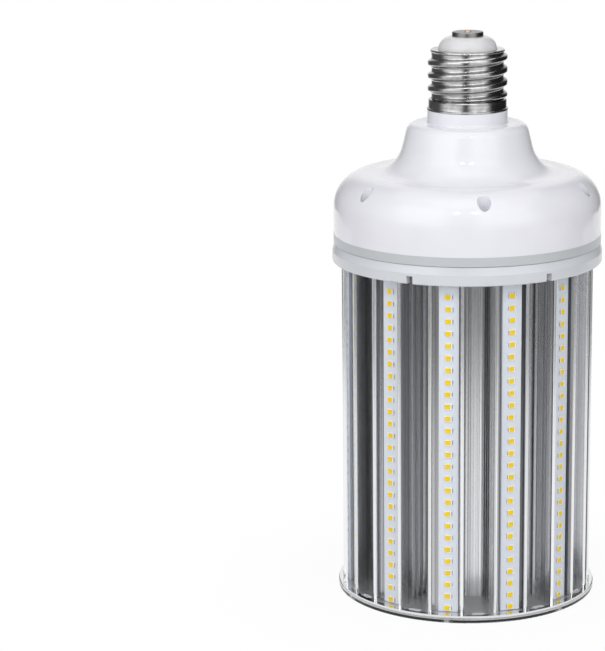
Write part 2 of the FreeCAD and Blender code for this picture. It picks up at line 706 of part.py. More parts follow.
# Screw cap: a pressed and plated shell, its insulator, the centre contact and
# the drop of solder on it
def screw_cap():
    shell = new_body("screw_shell")
    foot = COLLAR_HEAD
    lip_top = f"({foot} + 2 * sizes.shellThick)"
    rim_top = f"({foot} + sizes.shellRimHeight)"
    inner = "(sizes.threadRoot - sizes.shellThick)"
    under_lip = f"({SHELL_HEAD} - sizes.shellThick)"
    waves = [
        (inner, foot), ("sizes.shellLip", foot), ("sizes.shellLip", lip_top),
        ("sizes.shellRim", lip_top), ("sizes.shellRim", rim_top),
    ]
    start = f"({rim_top} + sizes.threadStart)"
    turns = whole("sizes.threadTurns")
    for turn in range(turns):
        root = f"({start} + {turn} * sizes.threadPitch)"
        rise = f"({root} + sizes.threadRootLand)"
        crest = f"({rise} + sizes.threadRise)"
        fall = f"({crest} + sizes.threadCrestLand)"
        waves += [("sizes.threadRoot", root), ("sizes.threadRoot", rise),
                  ("sizes.threadCrest", crest), ("sizes.threadCrest", fall)]
    waves += [
        ("sizes.threadRoot", f"({start} + {turns} * sizes.threadPitch)"),
        ("sizes.threadRoot", f"({under_lip} - 2 * sizes.shellThick)"),
        ("sizes.shellTopRadius", f"({under_lip} - sizes.shellThick)"),
        ("(sizes.shellTopRadius - sizes.shellThick)", SHELL_HEAD),
        ("sizes.shellMouth", SHELL_HEAD), ("sizes.shellMouth", under_lip), (inner, under_lip),
    ]
    spun(shell, "shell_wave", waves)
    keep(shell)
    insulator = new_body("base_insulator")
    plug_foot = f"({SHELL_HEAD} - sizes.insulatorPlug)"
    plug_head = f"({under_lip} - sizes.insulatorFit)"
    plug = f"({inner} - sizes.insulatorFit)"
    neck = "(sizes.shellMouth - sizes.insulatorFit)"
    bore = "(sizes.leadRadius + sizes.leadFit)"
    blank = spun(insulator, "insulator_blank", [
        (bore, plug_foot), (plug, plug_foot), (plug, plug_head), (neck, plug_head),
        (neck, CROWN), (bore, CROWN),
    ])
    rounded(insulator, "insulator_dome", blank, neck, CROWN, "sizes.insulatorRound")
    keep(insulator)
    contact = new_body("centre_contact")
    disc = spun(contact, "contact_blank", [
        ("0", CROWN), ("sizes.contactRadius", CROWN), ("sizes.contactRadius", CONTACT_HEAD),
        ("0", CONTACT_HEAD),
    ])
    rounded(contact, "contact_edge", disc, "sizes.contactRadius", CONTACT_HEAD,
            "sizes.contactRound")
    keep(contact)
    drop = doc.addObject("Part::Cone", "contact_solder")
    drop.Label = "contact_solder"
    drop.setExpression("Radius1", "sizes.solderRadius")
    drop.setExpression("Radius2", "sizes.solderRadius / 2")
    drop.setExpression("Height", "sizes.solderHeight")
    drop.setExpression("Placement.Base.z", CONTACT_HEAD)
    keep(drop)


# Lamp's lower end: a plate under the body, a round white board with two rings
# of lights on the plate, and a clear cover that the lamp stands on
def end_plate():
    body = new_body("end_plate")
    foot = f"({SINK_FOOT} - sizes.endPlateThick)"
    spun(body, "end_plate_blank", [
        ("0", foot), ("sizes.endPlateRadius", foot), ("sizes.endPlateRadius", SINK_FOOT),
        ("0", SINK_FOOT),
    ])
    near = "(sizes.slotOffset - sizes.slotWide / 2)"
    far = "(sizes.slotOffset + sizes.slotWide / 2)"
    ease = "(sizes.slotWide / 3)"
    half = "(sizes.slotLong / 2)"
    corners = [
        (near, f"-({half} - {ease})"), (f"({near} + {ease})", f"-{half}"),
        (f"({far} - {ease})", f"-{half}"), (far, f"-({half} - {ease})"),
        (far, f"({half} - {ease})"), (f"({far} - {ease})", half),
        (f"({near} + {ease})", half), (near, f"({half} - {ease})"),
    ]
    slot = outline(body, "slot_outline", "XY_Plane", turned(corners, CHANNEL_TURN), foot)
    ring_of(body, "slots", cut_through(body, "slot_cut", slot, "sizes.endPlateThick"),
            "sizes.strips")
    for name, circle, turn, radius, copies in END_SCREW_HOLES:
        holes_round(body, name, circle, turn, radius, foot, "sizes.endPlateThick", copies)
    holes_round(body, "end_wire_way", "sizes.cableReach", "90", "sizes.endPlateWireHole", foot,
                "sizes.endPlateThick", "1")
    return keep(body)


def end_board():
    body = new_body("end_board")
    top = f"({SINK_FOOT} - sizes.endPlateThick)"
    foot = f"({top} - sizes.endBoardThick)"
    spun(body, "end_board_blank", [
        ("0", foot), ("sizes.endBoardRadius", foot), ("sizes.endBoardRadius", top), ("0", top),
    ])
    holes_round(body, "boss_notch", "sizes.coverScrewCircle", "sizes.stripTurn",
                "(sizes.coverBoss + sizes.bossClear)", foot, "sizes.endBoardThick",
                "sizes.coverScrews")
    for name, circle, turn, radius, copies in END_SCREW_HOLES[1:]:
        holes_round(body, name + "_way", circle, turn, radius, foot,
                    "sizes.endBoardThick", copies)
    keep(body)
    long = at("sizes.ledLong")
    wide = at("sizes.ledWide")
    tall = at("sizes.ledTall")
    leds = []
    count = whole("sizes.ledsPerRing")
    for ring in ("sizes.outerLedRing", "sizes.innerLedRing"):
        start = Vector(at(ring) - wide / 2, -long / 2, at(foot) - tall)
        package = Part.makeBox(wide, long, tall, start)
        leds += round_axis(package, [spot * 360 / count for spot in range(count)])
    group("end_leds", leds)


def end_cover():
    body = new_body("end_cover")
    top = f"({SINK_FOOT} - sizes.endPlateThick)"
    inner = "(sizes.coverRadius - sizes.coverRimWall)"
    blank = spun(body, "cover_blank", [
        ("0", "0"), ("sizes.coverRadius", "0"), ("sizes.coverRadius", top), (inner, top),
        (inner, "sizes.coverFace"), ("0", "sizes.coverFace"),
    ])
    rounded(body, "cover_edge", blank, "sizes.coverRadius", "0", "sizes.coverEdgeRound")
    boss = hole_sketch(body, "boss_outline", "sizes.coverScrewCircle", "sizes.stripTurn",
                       "sizes.coverBoss", "sizes.coverFace")
    pad = body.newObject("PartDesign::Pad", "boss")
    pad.Profile = boss
    pad.Length = at(f"{top} - sizes.coverFace")
    pad.setExpression("Length", f"{top} - sizes.coverFace")
    body.Tip = pad
    doc.recompute()
    ring_of(body, "boss_ring", pad, "sizes.coverScrews")
    holes_round(body, "cover_screw_sink", "sizes.coverScrewCircle", "sizes.stripTurn",
                HEAD_BORE, "0", "(sizes.screwHeadTall + sizes.screwFit)", "sizes.coverScrews")
    holes_round(body, "cover_screw_way", "sizes.coverScrewCircle", "sizes.stripTurn",
                SCREW_BORE, "0", top, "sizes.coverScrews")
    return keep(body)


# Screws: pan heads with a plain shank, in groups of equal ones
def screw(shank, head, head_tall, long):
    # head down, the shank rising from the underside of the head at z = 0
    thread = Part.makeCylinder(shank / 2, long)
    cap = Part.makeCylinder(head / 2, head_tall, Vector(0, 0, -head_tall))
    return thread.fuse(cap).removeSplitter()


def screw_ring(label, shape, circle, turns, height, head_up=False):
    placed = shape.copy()
    if head_up:
        placed.rotate(Vector(), Vector(1, 0, 0), 180)
    placed.translate(Vector(circle, 0, height))
    group(label, round_axis(placed, turns))


def evenly(turn, copies):
    count = whole(copies)
    return [turn + 360 * step / count for step in range(count)]


def screws():
    shank = at("sizes.screwShank")
    head = at("sizes.screwHead")
    tall = at("sizes.screwHeadTall")
    start = at("sizes.stripTurn")
    screw_ring("cover_screws", screw(shank, head, tall, at("sizes.coverScrewLong")),
               at("sizes.coverScrewCircle"), evenly(start, "sizes.coverScrews"),
               tall + at("sizes.screwFit"))
    small = screw(at("sizes.boardScrewShank"), at("sizes.boardScrewHead"),
                  at("sizes.boardScrewHeadTall"), at("sizes.boardScrewLong"))
    board_foot = at(f"{SINK_FOOT} - sizes.endPlateThick - sizes.endBoardThick")
    pairs = evenly(start, "sizes.boardScrewPairs") + evenly(at(TWIN_TURN), "sizes.boardScrewPairs")
    screw_ring("board_screws", small, at("sizes.boardScrewCircle"), pairs, board_foot)
    plate_seat = at(f"{PLATE_HEAD} - sizes.screwFit") - tall
    screw_ring("plate_screws", screw(shank, head, tall, at("sizes.plateScrewLong")),
               at("sizes.plateScrewCircle"), evenly(start, "sizes.plateScrews"), plate_seat, True)
    screw_ring("housing_screws", screw(shank, head, tall, at("sizes.housingScrewLong")),
               at("sizes.wellCircle"), evenly(at("sizes.wellTurn"), "sizes.housingScrews"),
               at(WELL_FLOOR), True)
    short = screw(at("sizes.boardScrewShank"), at("sizes.boardScrewHead"),
                  at("sizes.boardScrewHeadTall"), at("sizes.driverScrewLong"))
    screw_ring("driver_screws", short, at("sizes.postCircle"), evenly(0, "sizes.posts"),
               at(DRIVER_DECK), True)


# Driver: a round board on the base's posts, with the parts of a mains power
# supply standing on it, and the wires up to the cap and down to the end board
def block(long, wide, tall, spot, lift):
    # an upright block whose footprint is centred on a spot of the board
    corner = Vector(spot[0] - long / 2, spot[1] - wide / 2, lift)
    return Part.makeBox(long, wide, tall, corner)


def shaped(label, shape):
    piece = doc.addObject("Part::Feature", label)
    piece.Label = label
    piece.Shape = shape
    return keep(piece)


def driver_board():
    board = new_body("driver_board")
    spun(board, "driver_board_blank", [
        ("0", BOARD_SEAT), ("sizes.driverBoardRadius", BOARD_SEAT),
        ("sizes.driverBoardRadius", DRIVER_DECK), ("0", DRIVER_DECK),
    ])
    holes_round(board, "driver_screw_way", "sizes.postCircle", "0", BOARD_SCREW_BORE,
                BOARD_SEAT, "sizes.driverBoardThick", "sizes.posts")
    return keep(board)


def transformer():
    deck = at(DRIVER_DECK)
    long = laid("coreLong")
    wide = laid("coreWide")
    tall = at("sizes.coreTall")
    leg = laid("coreLeg")
    yoke = at("sizes.coreYoke")
    window = (long - leg) / 2 - laid("coreSide")
    front = -laid("coreOut")
    core = block(long, wide, tall, (0, front), deck)
    for side in (-1, 1):
        spot = (side * (leg + window) / 2, front)
        core = core.cut(block(window, wide, tall - 2 * yoke, spot, deck + yoke))
    shaped("transformer_core", core)
    reach = 2 * laid("coilReach")
    fit = at("sizes.coilFit")
    coil_tall = tall - 2 * yoke - 2 * fit
    coil = block(leg + reach, wide + reach, coil_tall, (0, front), deck + yoke + fit)
    corners = [edge for edge in coil.Edges if abs(edge.tangentAt(0).z) > 0.9]
    coil = coil.makeFillet(laid("coilRound"), corners)
    eye = block(leg + 2 * fit, wide + 2 * fit, coil_tall, (0, front), deck + yoke + fit)
    shaped("transformer_coil", coil.cut(eye))


def cans(label, radius, tall, x, first, gap):
    # two equal round capacitors, side by side along Y
    step = 2 * radius + gap
    deck = at(DRIVER_DECK)
    spots = [Vector(x, first - number * step, deck) for number in range(2)]
    group(label, [Part.makeCylinder(radius, tall, spot) for spot in spots])


def capacitors():
    cans("mains_capacitors", laid("bigCanRadius"), at("sizes.bigCanTall"),
         -laid("bigCanOut"), laid("bigCanFirst"), laid("bigCanGap"))
    cans("output_capacitors", laid("smallCanRadius"), at("sizes.smallCanTall"),
         laid("smallCanOut"), laid("smallCanFirst"), laid("smallCanGap"))
    film = block(laid("filmLong"), laid("filmWide"), at("sizes.filmTall"),
                 (0, laid("filmOut")), at(DRIVER_DECK))
    shaped("film_capacitor", film)
    spot = (-laid("bridgeLeft"), laid("bridgeOut"))
    bridge = block(laid("bridgeLong"), laid("bridgeWide"), at("sizes.bridgeTall"),
                   spot, at(DRIVER_DECK))
    shaped("bridge_rectifier", bridge)


def choke():
    ring = doc.addObject("Part::Torus", "choke_coil")
    ring.Label = "choke_coil"
    ring.setExpression("Radius1", "sizes.chokeRing * sizes.boardScale")
    ring.setExpression("Radius2", "sizes.chokeWire * sizes.boardScale")
    ring.setExpression("Placement.Base.x", "sizes.chokeRight * sizes.boardScale")
    ring.setExpression("Placement.Base.y", "-sizes.chokeOut * sizes.boardScale")
    ring.setExpression("Placement.Base.z", f"{DRIVER_DECK} + sizes.chokeWire * sizes.boardScale")
    return keep(ring)


def leads():
    keep(cylinder("contact_lead", "sizes.leadRadius", f"{CROWN} - {DRIVER_DECK}", DRIVER_DECK))
    board_back = f"({SINK_FOOT} - sizes.endPlateThick)"
    cable = cylinder("end_board_lead", "sizes.cableRadius", f"{BOARD_SEAT} - {board_back}",
                     board_back)
    cable.setExpression("Placement.Base.y", "sizes.cableReach")
    keep(cable)
    reach = at("sizes.shellLeadReach")
    bend = at("sizes.leadBend")
    radius = at("sizes.leadRadius")
    deck = at(DRIVER_DECK)
    level = at(f"{COLLAR_HEAD} + sizes.spigotHeight") + radius + at("sizes.leadFit")
    wall = at("sizes.threadRoot - sizes.shellThick - sizes.leadFit")
    corner = Vector(-reach - bend * (1 - math.sqrt(0.5)), 0, level - bend * (1 - math.sqrt(0.5)))
    rise = Part.LineSegment(Vector(-reach, 0, deck), Vector(-reach, 0, level - bend))
    turn = Part.Arc(Vector(-reach, 0, level - bend), corner, Vector(-reach - bend, 0, level))
    run = Part.LineSegment(Vector(-reach - bend, 0, level), Vector(-wall, 0, level))
    path = Part.Wire([rise.toShape(), turn.toShape(), run.toShape()])
    section = Part.Wire([Part.Circle(Vector(-reach, 0, deck), Vector(0, 0, 1), radius).toShape()])
    wire = path.makePipeShell([section], True, False)
    straight = math.pi * radius ** 2 * path.Length
    if abs(wire.Volume - straight) > 0.01 * straight:
        raise RuntimeError("the shell lead isn't as long as its path")
    shaped("shell_lead", wire)


heat_sink()
light_strips()
top_plate()
housing_base()
driver_housing()
screw_cap()
end_plate()
end_board()
end_cover()
driver_board()
transformer()
capacitors()
choke()
leads()
screws()
doc.recompute()

for item in doc.Objects:
    if "Invalid" in item.State or "Error" in item.State:
        raise RuntimeError(f"{item.Label} failed: {item.State}")

os.makedirs("parts", exist_ok=True)
for piece in parts:
    shape = piece.Shape
    if shape.isNull() or not shape.isValid() or shape.Volume <= 0:
        raise RuntimeError(f"{piece.Label} is not a sound solid")
    shape.exportStep(f"parts/{piece.Label}.step")
    print(f"{piece.Label:20s} {len(shape.Solids):3d} solids {shape.Volume / 1000:9.3f} cm3")
print(len(parts), "nodes")
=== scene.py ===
# %% [markdown]
# # A corn lamp for a mogul holder
# This lesson dresses a measured model of a corn lamp: a finned aluminium body
# with twelve light strips, a white moulded housing, a screw cap and a clear end
# cover. The measured parts arrive as a fixed frame. They could be modelled again
# here, but then two drawings of one lamp would have to agree, so the frame is
# kept, and only finishes and fine detail are added to it.

# %% Load the measured frame
import math
import random
import bmesh
import bpy
from mathutils import Matrix, Vector


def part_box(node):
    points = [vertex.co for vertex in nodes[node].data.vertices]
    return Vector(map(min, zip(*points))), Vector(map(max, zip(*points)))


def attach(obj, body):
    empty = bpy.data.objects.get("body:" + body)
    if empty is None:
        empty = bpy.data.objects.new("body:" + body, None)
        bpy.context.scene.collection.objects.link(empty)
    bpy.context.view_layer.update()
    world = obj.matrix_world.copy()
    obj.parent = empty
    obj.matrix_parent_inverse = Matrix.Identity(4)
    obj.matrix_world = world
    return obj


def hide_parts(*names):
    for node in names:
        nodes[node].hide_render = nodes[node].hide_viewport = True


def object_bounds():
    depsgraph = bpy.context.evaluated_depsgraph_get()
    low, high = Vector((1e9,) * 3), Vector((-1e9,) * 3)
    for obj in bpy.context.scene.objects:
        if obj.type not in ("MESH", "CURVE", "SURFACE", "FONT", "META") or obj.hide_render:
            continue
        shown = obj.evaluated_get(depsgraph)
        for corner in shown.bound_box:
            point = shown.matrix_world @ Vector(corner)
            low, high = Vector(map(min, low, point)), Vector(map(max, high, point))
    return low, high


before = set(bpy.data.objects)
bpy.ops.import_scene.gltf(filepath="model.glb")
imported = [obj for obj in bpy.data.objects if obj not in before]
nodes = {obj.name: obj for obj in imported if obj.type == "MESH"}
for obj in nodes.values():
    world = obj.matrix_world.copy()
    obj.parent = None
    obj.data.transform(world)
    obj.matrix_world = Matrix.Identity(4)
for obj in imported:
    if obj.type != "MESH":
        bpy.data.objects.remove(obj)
cad_low, cad_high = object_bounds()
MM = 0.001
print(f"{len(nodes)} measured pieces, {cad_high.z / MM:.1f} mm tall")

# %% [markdown]
# ## Reading sizes off the frame
# On the real lamp every fitting follows from a few turned and extruded sizes.
# Typing them again would let them drift apart, so they are read from the boxes
# of the measured pieces. The angle of a light strip comes from the middle of its
# board, and the other eleven follow at equal steps.

# %% Sizes that later steps share
STRIPS = 12


def reach(node):
    # largest distance from the lamp's axis
    return max(math.hypot(point.co.x, point.co.y) for point in nodes[node].data.vertices)


def middle(node):
    low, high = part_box(node)
    return (low + high) / 2


strip_place = middle("led_board_01")
STRIP_TURN = math.atan2(strip_place.y, strip_place.x)
STRIP_STEP = 2 * math.pi / STRIPS
AXIS = Vector((0, 0, 1))
print(f"first strip at {math.degrees(STRIP_TURN):.1f} degrees from +X")

# %% [markdown]
# ## Helpers for procedural finishes
# Every finish here starts from the object's own coordinates. A photographed
# texture could be wrapped on instead, but it would stretch over turned parts and
# tie the lamp to one picture. Noise that is squeezed or stretched along an axis
# gives the marks that extruding, turning and moulding leave.

# %% A blank finish and its node helpers
class Finish:
    def __init__(self, name, colour, roughness, metallic=0.0):
        self.material = bpy.data.materials.new(name)
        self.material.use_nodes = True
        tree = self.material.node_tree
        self.nodes = tree.nodes
        self.links = tree.links
        self.shader = self.nodes["Principled BSDF"]
        self.shader.inputs["Base Color"].default_value = (*colour, 1)
        self.shader.inputs["Roughness"].default_value = roughness
        self.shader.inputs["Metallic"].default_value = metallic
        self.material.diffuse_color = (*colour, 1)

    def set(self, **sockets):
        for name, value in sockets.items():
            self.shader.inputs[name.replace("_", " ")].default_value = value
        return self

    def place(self):
        return self.nodes.new("ShaderNodeTexCoord").outputs["Object"]

    def join(self, source, target):
        self.links.new(source, target)

    def maths(self, kind, first, second=None, third=None):
        node = self.nodes.new("ShaderNodeMath")
        node.operation = kind
        for socket, value in zip(node.inputs, (first, second, third)):
            if value is None:
                continue
            if isinstance(value, (int, float)):
                socket.default_value = value
            else:
                self.join(value, socket)
        return node.outputs[0]

    def noise(self, per_metre, detail=3.0, place=None):
        # per_metre is how many grains fit in a metre along X, Y and Z
        scaled = self.nodes.new("ShaderNodeMapping")
        scaled.inputs["Scale"].default_value = per_metre
        self.join(place or self.place(), scaled.inputs["Vector"])
        grain = self.nodes.new("ShaderNodeTexNoise")
        grain.inputs["Scale"].default_value = 1.0
        grain.inputs["Detail"].default_value = detail
        self.join(scaled.outputs["Vector"], grain.inputs["Vector"])
        return grain.outputs["Fac"]

    def tones(self, factor, *stops):
        ramp = self.nodes.new("ShaderNodeValToRGB")
        self.join(factor, ramp.inputs["Fac"])
        band = ramp.color_ramp
        while len(band.elements) < len(stops):
            band.elements.new(0.5)
        for element, (spot, colour) in zip(band.elements, stops):
            element.position = spot
            element.color = (*colour, 1)
        self.join(ramp.outputs["Color"], self.shader.inputs["Base Color"])
        return ramp.outputs["Color"]

    def gloss(self, factor, low, high):
        spread = self.nodes.new("ShaderNodeMapRange")
        self.join(factor, spread.inputs["Value"])
        spread.inputs["To Min"].default_value = low
        spread.inputs["To Max"].default_value = high
        self.join(spread.outputs["Result"], self.shader.inputs["Roughness"])
        return spread.outputs["Result"]

    def relief(self, height, depth, strength=1.0):
        bump = self.nodes.new("ShaderNodeBump")
        bump.inputs["Strength"].default_value = strength
        bump.inputs["Distance"].default_value = depth
        self.join(height, bump.inputs["Height"])
        self.join(bump.outputs["Normal"], self.shader.inputs["Normal"])


def shade(colour, share):
    return tuple(channel * share for channel in colour)


print("finish helpers ready")

# %% [markdown]
# ## Bare extruded aluminium
# The body leaves its die with hair-fine lines that all run along the lamp, and
# light breaks on them into upright bands. Modelling the lines would take
# millions of faces. Noise that is very long along Z and very short across it
# gives the same bands, in the colour, the gloss and the relief together.

# %% Places on the body: from the axis out, and sideways from a strip's middle
def on_the_strip(finish):
    # distance out along the nearest strip's middle line, and sideways from it
    parts = finish.nodes.new("ShaderNodeSeparateXYZ")
    finish.join(finish.place(), parts.inputs[0])
    x = parts.outputs["X"]
    y = parts.outputs["Y"]
    angle = finish.maths("SUBTRACT", finish.maths("ARCTAN2", y, x), STRIP_TURN)
    local = finish.maths("WRAP", angle, STRIP_STEP / 2, -STRIP_STEP / 2)
    squared = finish.maths("MULTIPLY_ADD", x, x, finish.maths("MULTIPLY", y, y))
    away = finish.maths("SQRT", squared)
    out = finish.maths("MULTIPLY", away, finish.maths("COSINE", local))
    aside = finish.maths("MULTIPLY", away, finish.maths("SINE", local))
    return out, finish.maths("ABSOLUTE", aside)


print("strip coordinates ready")

# %% [markdown]
# ## The body's metal
# The crowns of the rails stay bright, and the seats between them carry painted
# shade: their colour is cut to about half. A second metal could be
# set face by face, but the seat has a plain limit: it lies within seven
# millimetres of a strip's middle and below the crowns, so the shader finds it.
# Below the rails, in the channels, extra dark lines along the lamp are added to the colour.

# %% Bright rails, and seats darkened by painted shade
SEAT_EDGE = (7.05 * MM, 7.4 * MM)
CROWN_EDGE = (61.2 * MM, 62.1 * MM)
SEAT_FOOT = (56.6 * MM, 57.0 * MM)
# share of the colour that the seats keep under their painted shade
SEAT_PAINTED_SHADE = 0.52
CHANNEL_EDGE = (57.4 * MM, 58.6 * MM)
# the dark lines in the channels: the span of the noise that they take, and its two levels
CHANNEL_LINES = (0.38, 0.55, 0.78, 1.06)
# grains in a metre along X, Y and Z
BROAD_BANDS = (260, 260, 0.4)
FINE_HAIRS = (1500, 1500, 0.5)
DARK_HAIRS = (950, 950, 0.05)
HAIR_SHARE = 0.55


def fade(finish, value, start, end, first, last):
    # a soft step from the first level to the last
    step = finish.nodes.new("ShaderNodeMapRange")
    step.interpolation_type = "SMOOTHSTEP"
    finish.join(value, step.inputs["Value"])
    step.inputs["From Min"].default_value = start
    step.inputs["From Max"].default_value = end
    step.inputs["To Min"].default_value = first
    step.inputs["To Max"].default_value = last
    return step.outputs["Result"]


def extruded_metal():
    bright = (0.92, 0.925, 0.94)
    metal = Finish("extruded_aluminium", bright, 0.24, 1.0)
    broad = metal.maths("MULTIPLY", metal.noise(BROAD_BANDS, 2.0), 1 - HAIR_SHARE)
    streak = metal.maths("MULTIPLY_ADD", metal.noise(FINE_HAIRS, 3.0), HAIR_SHARE, broad)
    skin = metal.tones(streak, (0.36, shade(bright, 0.68)), (0.5, shade(bright, 0.95)),
                       (0.6, bright))
    out, aside = on_the_strip(metal)
    seat = metal.maths("MULTIPLY", fade(metal, aside, *SEAT_EDGE, 1, 0),
                       fade(metal, out, *CROWN_EDGE, 1, 0))
    seat = metal.maths("MULTIPLY", seat, fade(metal, out, *SEAT_FOOT, 0, 1))
    lines = fade(metal, metal.noise(DARK_HAIRS, 1.0), *CHANNEL_LINES)
    inside = fade(metal, out, *CHANNEL_EDGE, 1, 0)
    lined = metal.maths("MULTIPLY_ADD", inside, metal.maths("SUBTRACT", lines, 1), 1.0)
    # painted shade: the seats' colour is darkened between the rails
    seat_shade = metal.maths("MULTIPLY_ADD", seat, SEAT_PAINTED_SHADE - 1, 1.0)
    shaded_skin = metal.nodes.new("ShaderNodeVectorMath")
    shaded_skin.operation = "SCALE"
    metal.join(skin, shaded_skin.inputs[0])
    metal.join(metal.maths("MULTIPLY", seat_shade, lined), shaded_skin.inputs["Scale"])
    metal.join(shaded_skin.outputs[0], metal.shader.inputs["Base Color"])
    metal.gloss(streak, 0.25, 0.1)
    metal.relief(streak, 0.03 * MM, 0.5)
    metal.set(Anisotropic=0.7, Anisotropic_Rotation=0.25)
    return metal.material


EXTRUDED = extruded_metal()
print("body metal:", EXTRUDED.name)

# %% [markdown]
# ## Punched and turned metal
# The plate under the body is sheet that was faced round its middle, so its lines
# are circles. A circle's line needs only the distance from the axis, so that
# distance drives the noise in place of X and Y, and polishes the outer rim.

# %% The plate's metal and the contact's
RIM_POLISH = (61.9 * MM, 62.3 * MM)
POLISHED_SHARE = 0.3


def round_the_axis(finish):
    # a place made of the distance from the lamp's axis and the height
    parts = finish.nodes.new("ShaderNodeSeparateXYZ")
    finish.join(finish.place(), parts.inputs[0])
    x = parts.outputs["X"]
    y = parts.outputs["Y"]
    squared = finish.maths("MULTIPLY_ADD", x, x, finish.maths("MULTIPLY", y, y))
    ring = finish.nodes.new("ShaderNodeCombineXYZ")
    finish.join(finish.maths("SQRT", squared), ring.inputs["X"])
    finish.join(parts.outputs["Z"], ring.inputs["Z"])
    return ring.outputs[0]


def turned_metal(name, colour, lines_per_metre, roughness, polished_rim=False):
    metal = Finish(name, colour, roughness, 1.0)
    rings = round_the_axis(metal)
    lines = metal.noise((lines_per_metre, 1, 40), 3.0, rings)
    metal.tones(lines, (0.35, shade(colour, 0.7)), (0.65, colour))
    gloss = metal.gloss(lines, roughness + 0.1, roughness - 0.06)
    if polished_rim:
        # the plate's edge is turned last and stays bright
        parts = metal.nodes.new("ShaderNodeSeparateXYZ")
        metal.join(rings, parts.inputs[0])
        rub = fade(metal, parts.outputs["X"], *RIM_POLISH, 1, POLISHED_SHARE)
        metal.join(metal.maths("MULTIPLY", gloss, rub), metal.shader.inputs["Roughness"])
    metal.relief(lines, 0.05 * MM, 0.5)
    return metal.material


PUNCHED = turned_metal("punched_aluminium", (0.93, 0.935, 0.945), 1500, 0.42, True)
CONTACT = turned_metal("contact_plate", (0.3, 0.296, 0.29), 2600, 0.3)
print("turned metals:", PUNCHED.name, CONTACT.name)

# %% [markdown]
# ## Moulded white and light grey
# The housing is injection moulded, smooth and a little glossy, with a faint
# unevenness where the melt cooled. One flat white would look like chalk, so a
# very soft noise moves its tone by a few hundredths, and another gives the
# surface its slight ripple. The white shows small lamps as crisp spots, so it
# also carries a thin clear skin. The two grey rings are the same plastic, tinted.

# %% Moulded finishes
def moulded(name, colour, roughness, ripple=0.015, skin=0.0):
    plastic = Finish(name, colour, roughness)
    cloud = plastic.noise((28, 28, 28), 2.0)
    plastic.tones(cloud, (0.3, shade(colour, 0.965)), (0.7, colour))
    grain = plastic.noise((900, 900, 900), 2.0)
    plastic.gloss(grain, roughness - 0.04, roughness + 0.05)
    plastic.relief(grain, ripple * MM, 0.35)
    plastic.set(Specular_IOR_Level=0.5 - 0.6 * skin, Coat_Weight=skin, Coat_Roughness=0.05)
    return plastic.material


HOUSING_WHITE = moulded("housing_white", (0.88, 0.88, 0.937), 0.2, 0.006, 0.6)
RING_GREY = moulded("ring_grey", (0.71, 0.735, 0.77), 0.24)
BASE_GREY = moulded("base_grey", (0.58, 0.605, 0.625), 0.3)
INSULATOR = moulded("insulator_grey", (0.75, 0.75, 0.765), 0.14)
print("moulded finishes ready")

# %% [markdown]
# ## Rolled and plated brass
# The cap's shell is brass strip, rolled into its thread and plated with nickel.
# Rolling leaves scuffs that run round the cap, so this noise is short along Z and
# long across it. A mirror-smooth chrome would be easier, but it would lose the
# broken reflections that make the shell read as pressed sheet.

# %% Nickel plate, solder and screw steel
ROLLED_SCUFFS = (30, 30, 1500)
PLATING_SPOTS = (350, 350, 500)
SCUFF_SHARE = 0.6


def nickel_plate():
    colour = (0.6, 0.6, 0.6)
    metal = Finish("nickel_plate", colour, 0.25, 1.0)
    spots = metal.maths("MULTIPLY", metal.noise(PLATING_SPOTS, 3.0), 1 - SCUFF_SHARE)
    mix = metal.maths("MULTIPLY_ADD", metal.noise(ROLLED_SCUFFS, 4.0), SCUFF_SHARE, spots)
    metal.tones(mix, (0.34, shade(colour, 0.55)), (0.52, shade(colour, 0.85)), (0.66, colour))
    metal.gloss(mix, 0.28, 0.12)
    metal.relief(mix, 0.08 * MM, 0.5)
    return metal.material


def dull_metal(name, colour, roughness):
    metal = Finish(name, colour, roughness, 1.0)
    grain = metal.noise((1300, 1300, 1300), 3.0)
    metal.tones(grain, (0.3, shade(colour, 0.7)), (0.7, colour))
    metal.gloss(grain, roughness - 0.08, roughness + 0.1)
    metal.relief(grain, 0.03 * MM, 0.5)
    return metal.material


NICKEL = nickel_plate()
SOLDER = dull_metal("solder", (0.62, 0.5, 0.4), 0.38)
SCREW_STEEL = dull_metal("screw_steel", (0.72, 0.72, 0.73), 0.26)
print("plated metals ready")

# %% [markdown]
# ## White circuit board
# A strip's board is glass fibre under white mask. Copper runs under the mask as
# two flat tracks beside the chips, and shows only as a slight step. The tracks
# could be thin pieces, but their step is a twentieth of a millimetre, so the
# shader raises them: it turns each point into its own strip's coordinates.

# %% Board finishes
TRACK_MIDDLE = 3.35 * MM
TRACK_HALF = 0.8 * MM
TRACK_EDGE = 0.15 * MM
WEAVE_SHARE = 0.15


def board_mask(name, colour, tracks):
    mask = Finish(name, colour, 0.34)
    weave = mask.noise((1100, 1100, 1100), 2.0)
    mask.tones(weave, (0.3, shade(colour, 0.95)), (0.7, colour))
    height = mask.maths("MULTIPLY", weave, WEAVE_SHARE)
    if tracks:
        aside = on_the_strip(mask)[1]
        off = mask.maths("ABSOLUTE", mask.maths("SUBTRACT", aside, TRACK_MIDDLE))
        track = fade(mask, off, TRACK_HALF, TRACK_HALF + TRACK_EDGE, 1, 0)
        height = mask.maths("ADD", height, track)
    mask.relief(height, 0.04 * MM, 0.7)
    return mask.material


STRIP_MASK = board_mask("strip_mask", (0.795, 0.84, 0.92), True)
END_MASK = board_mask("end_board_mask", (0.72, 0.76, 0.83), False)
DRIVER_MASK = board_mask("driver_mask", (0.03, 0.16, 0.06), False)
print("board finishes ready")

# %% [markdown]
# ## The chips' own finishes
# A chip is a white reflector cup filled with yellow phosphor in silicone. The
# lamp is off, so the phosphor only reflects: a strong orange yellow with a wet
# gloss.

# %% Phosphor, cup and clear cover
def phosphor():
    yellow = (1.0, 0.7, 0.004)
    gel = Finish("phosphor", yellow, 0.42)
    grain = gel.noise((2600, 2600, 2600), 3.0)
    gel.tones(grain, (0.3, shade(yellow, 0.93)), (0.7, yellow))
    gel.relief(grain, 0.01 * MM, 0.4)
    gel.set(Specular_IOR_Level=0.3)
    return gel.material


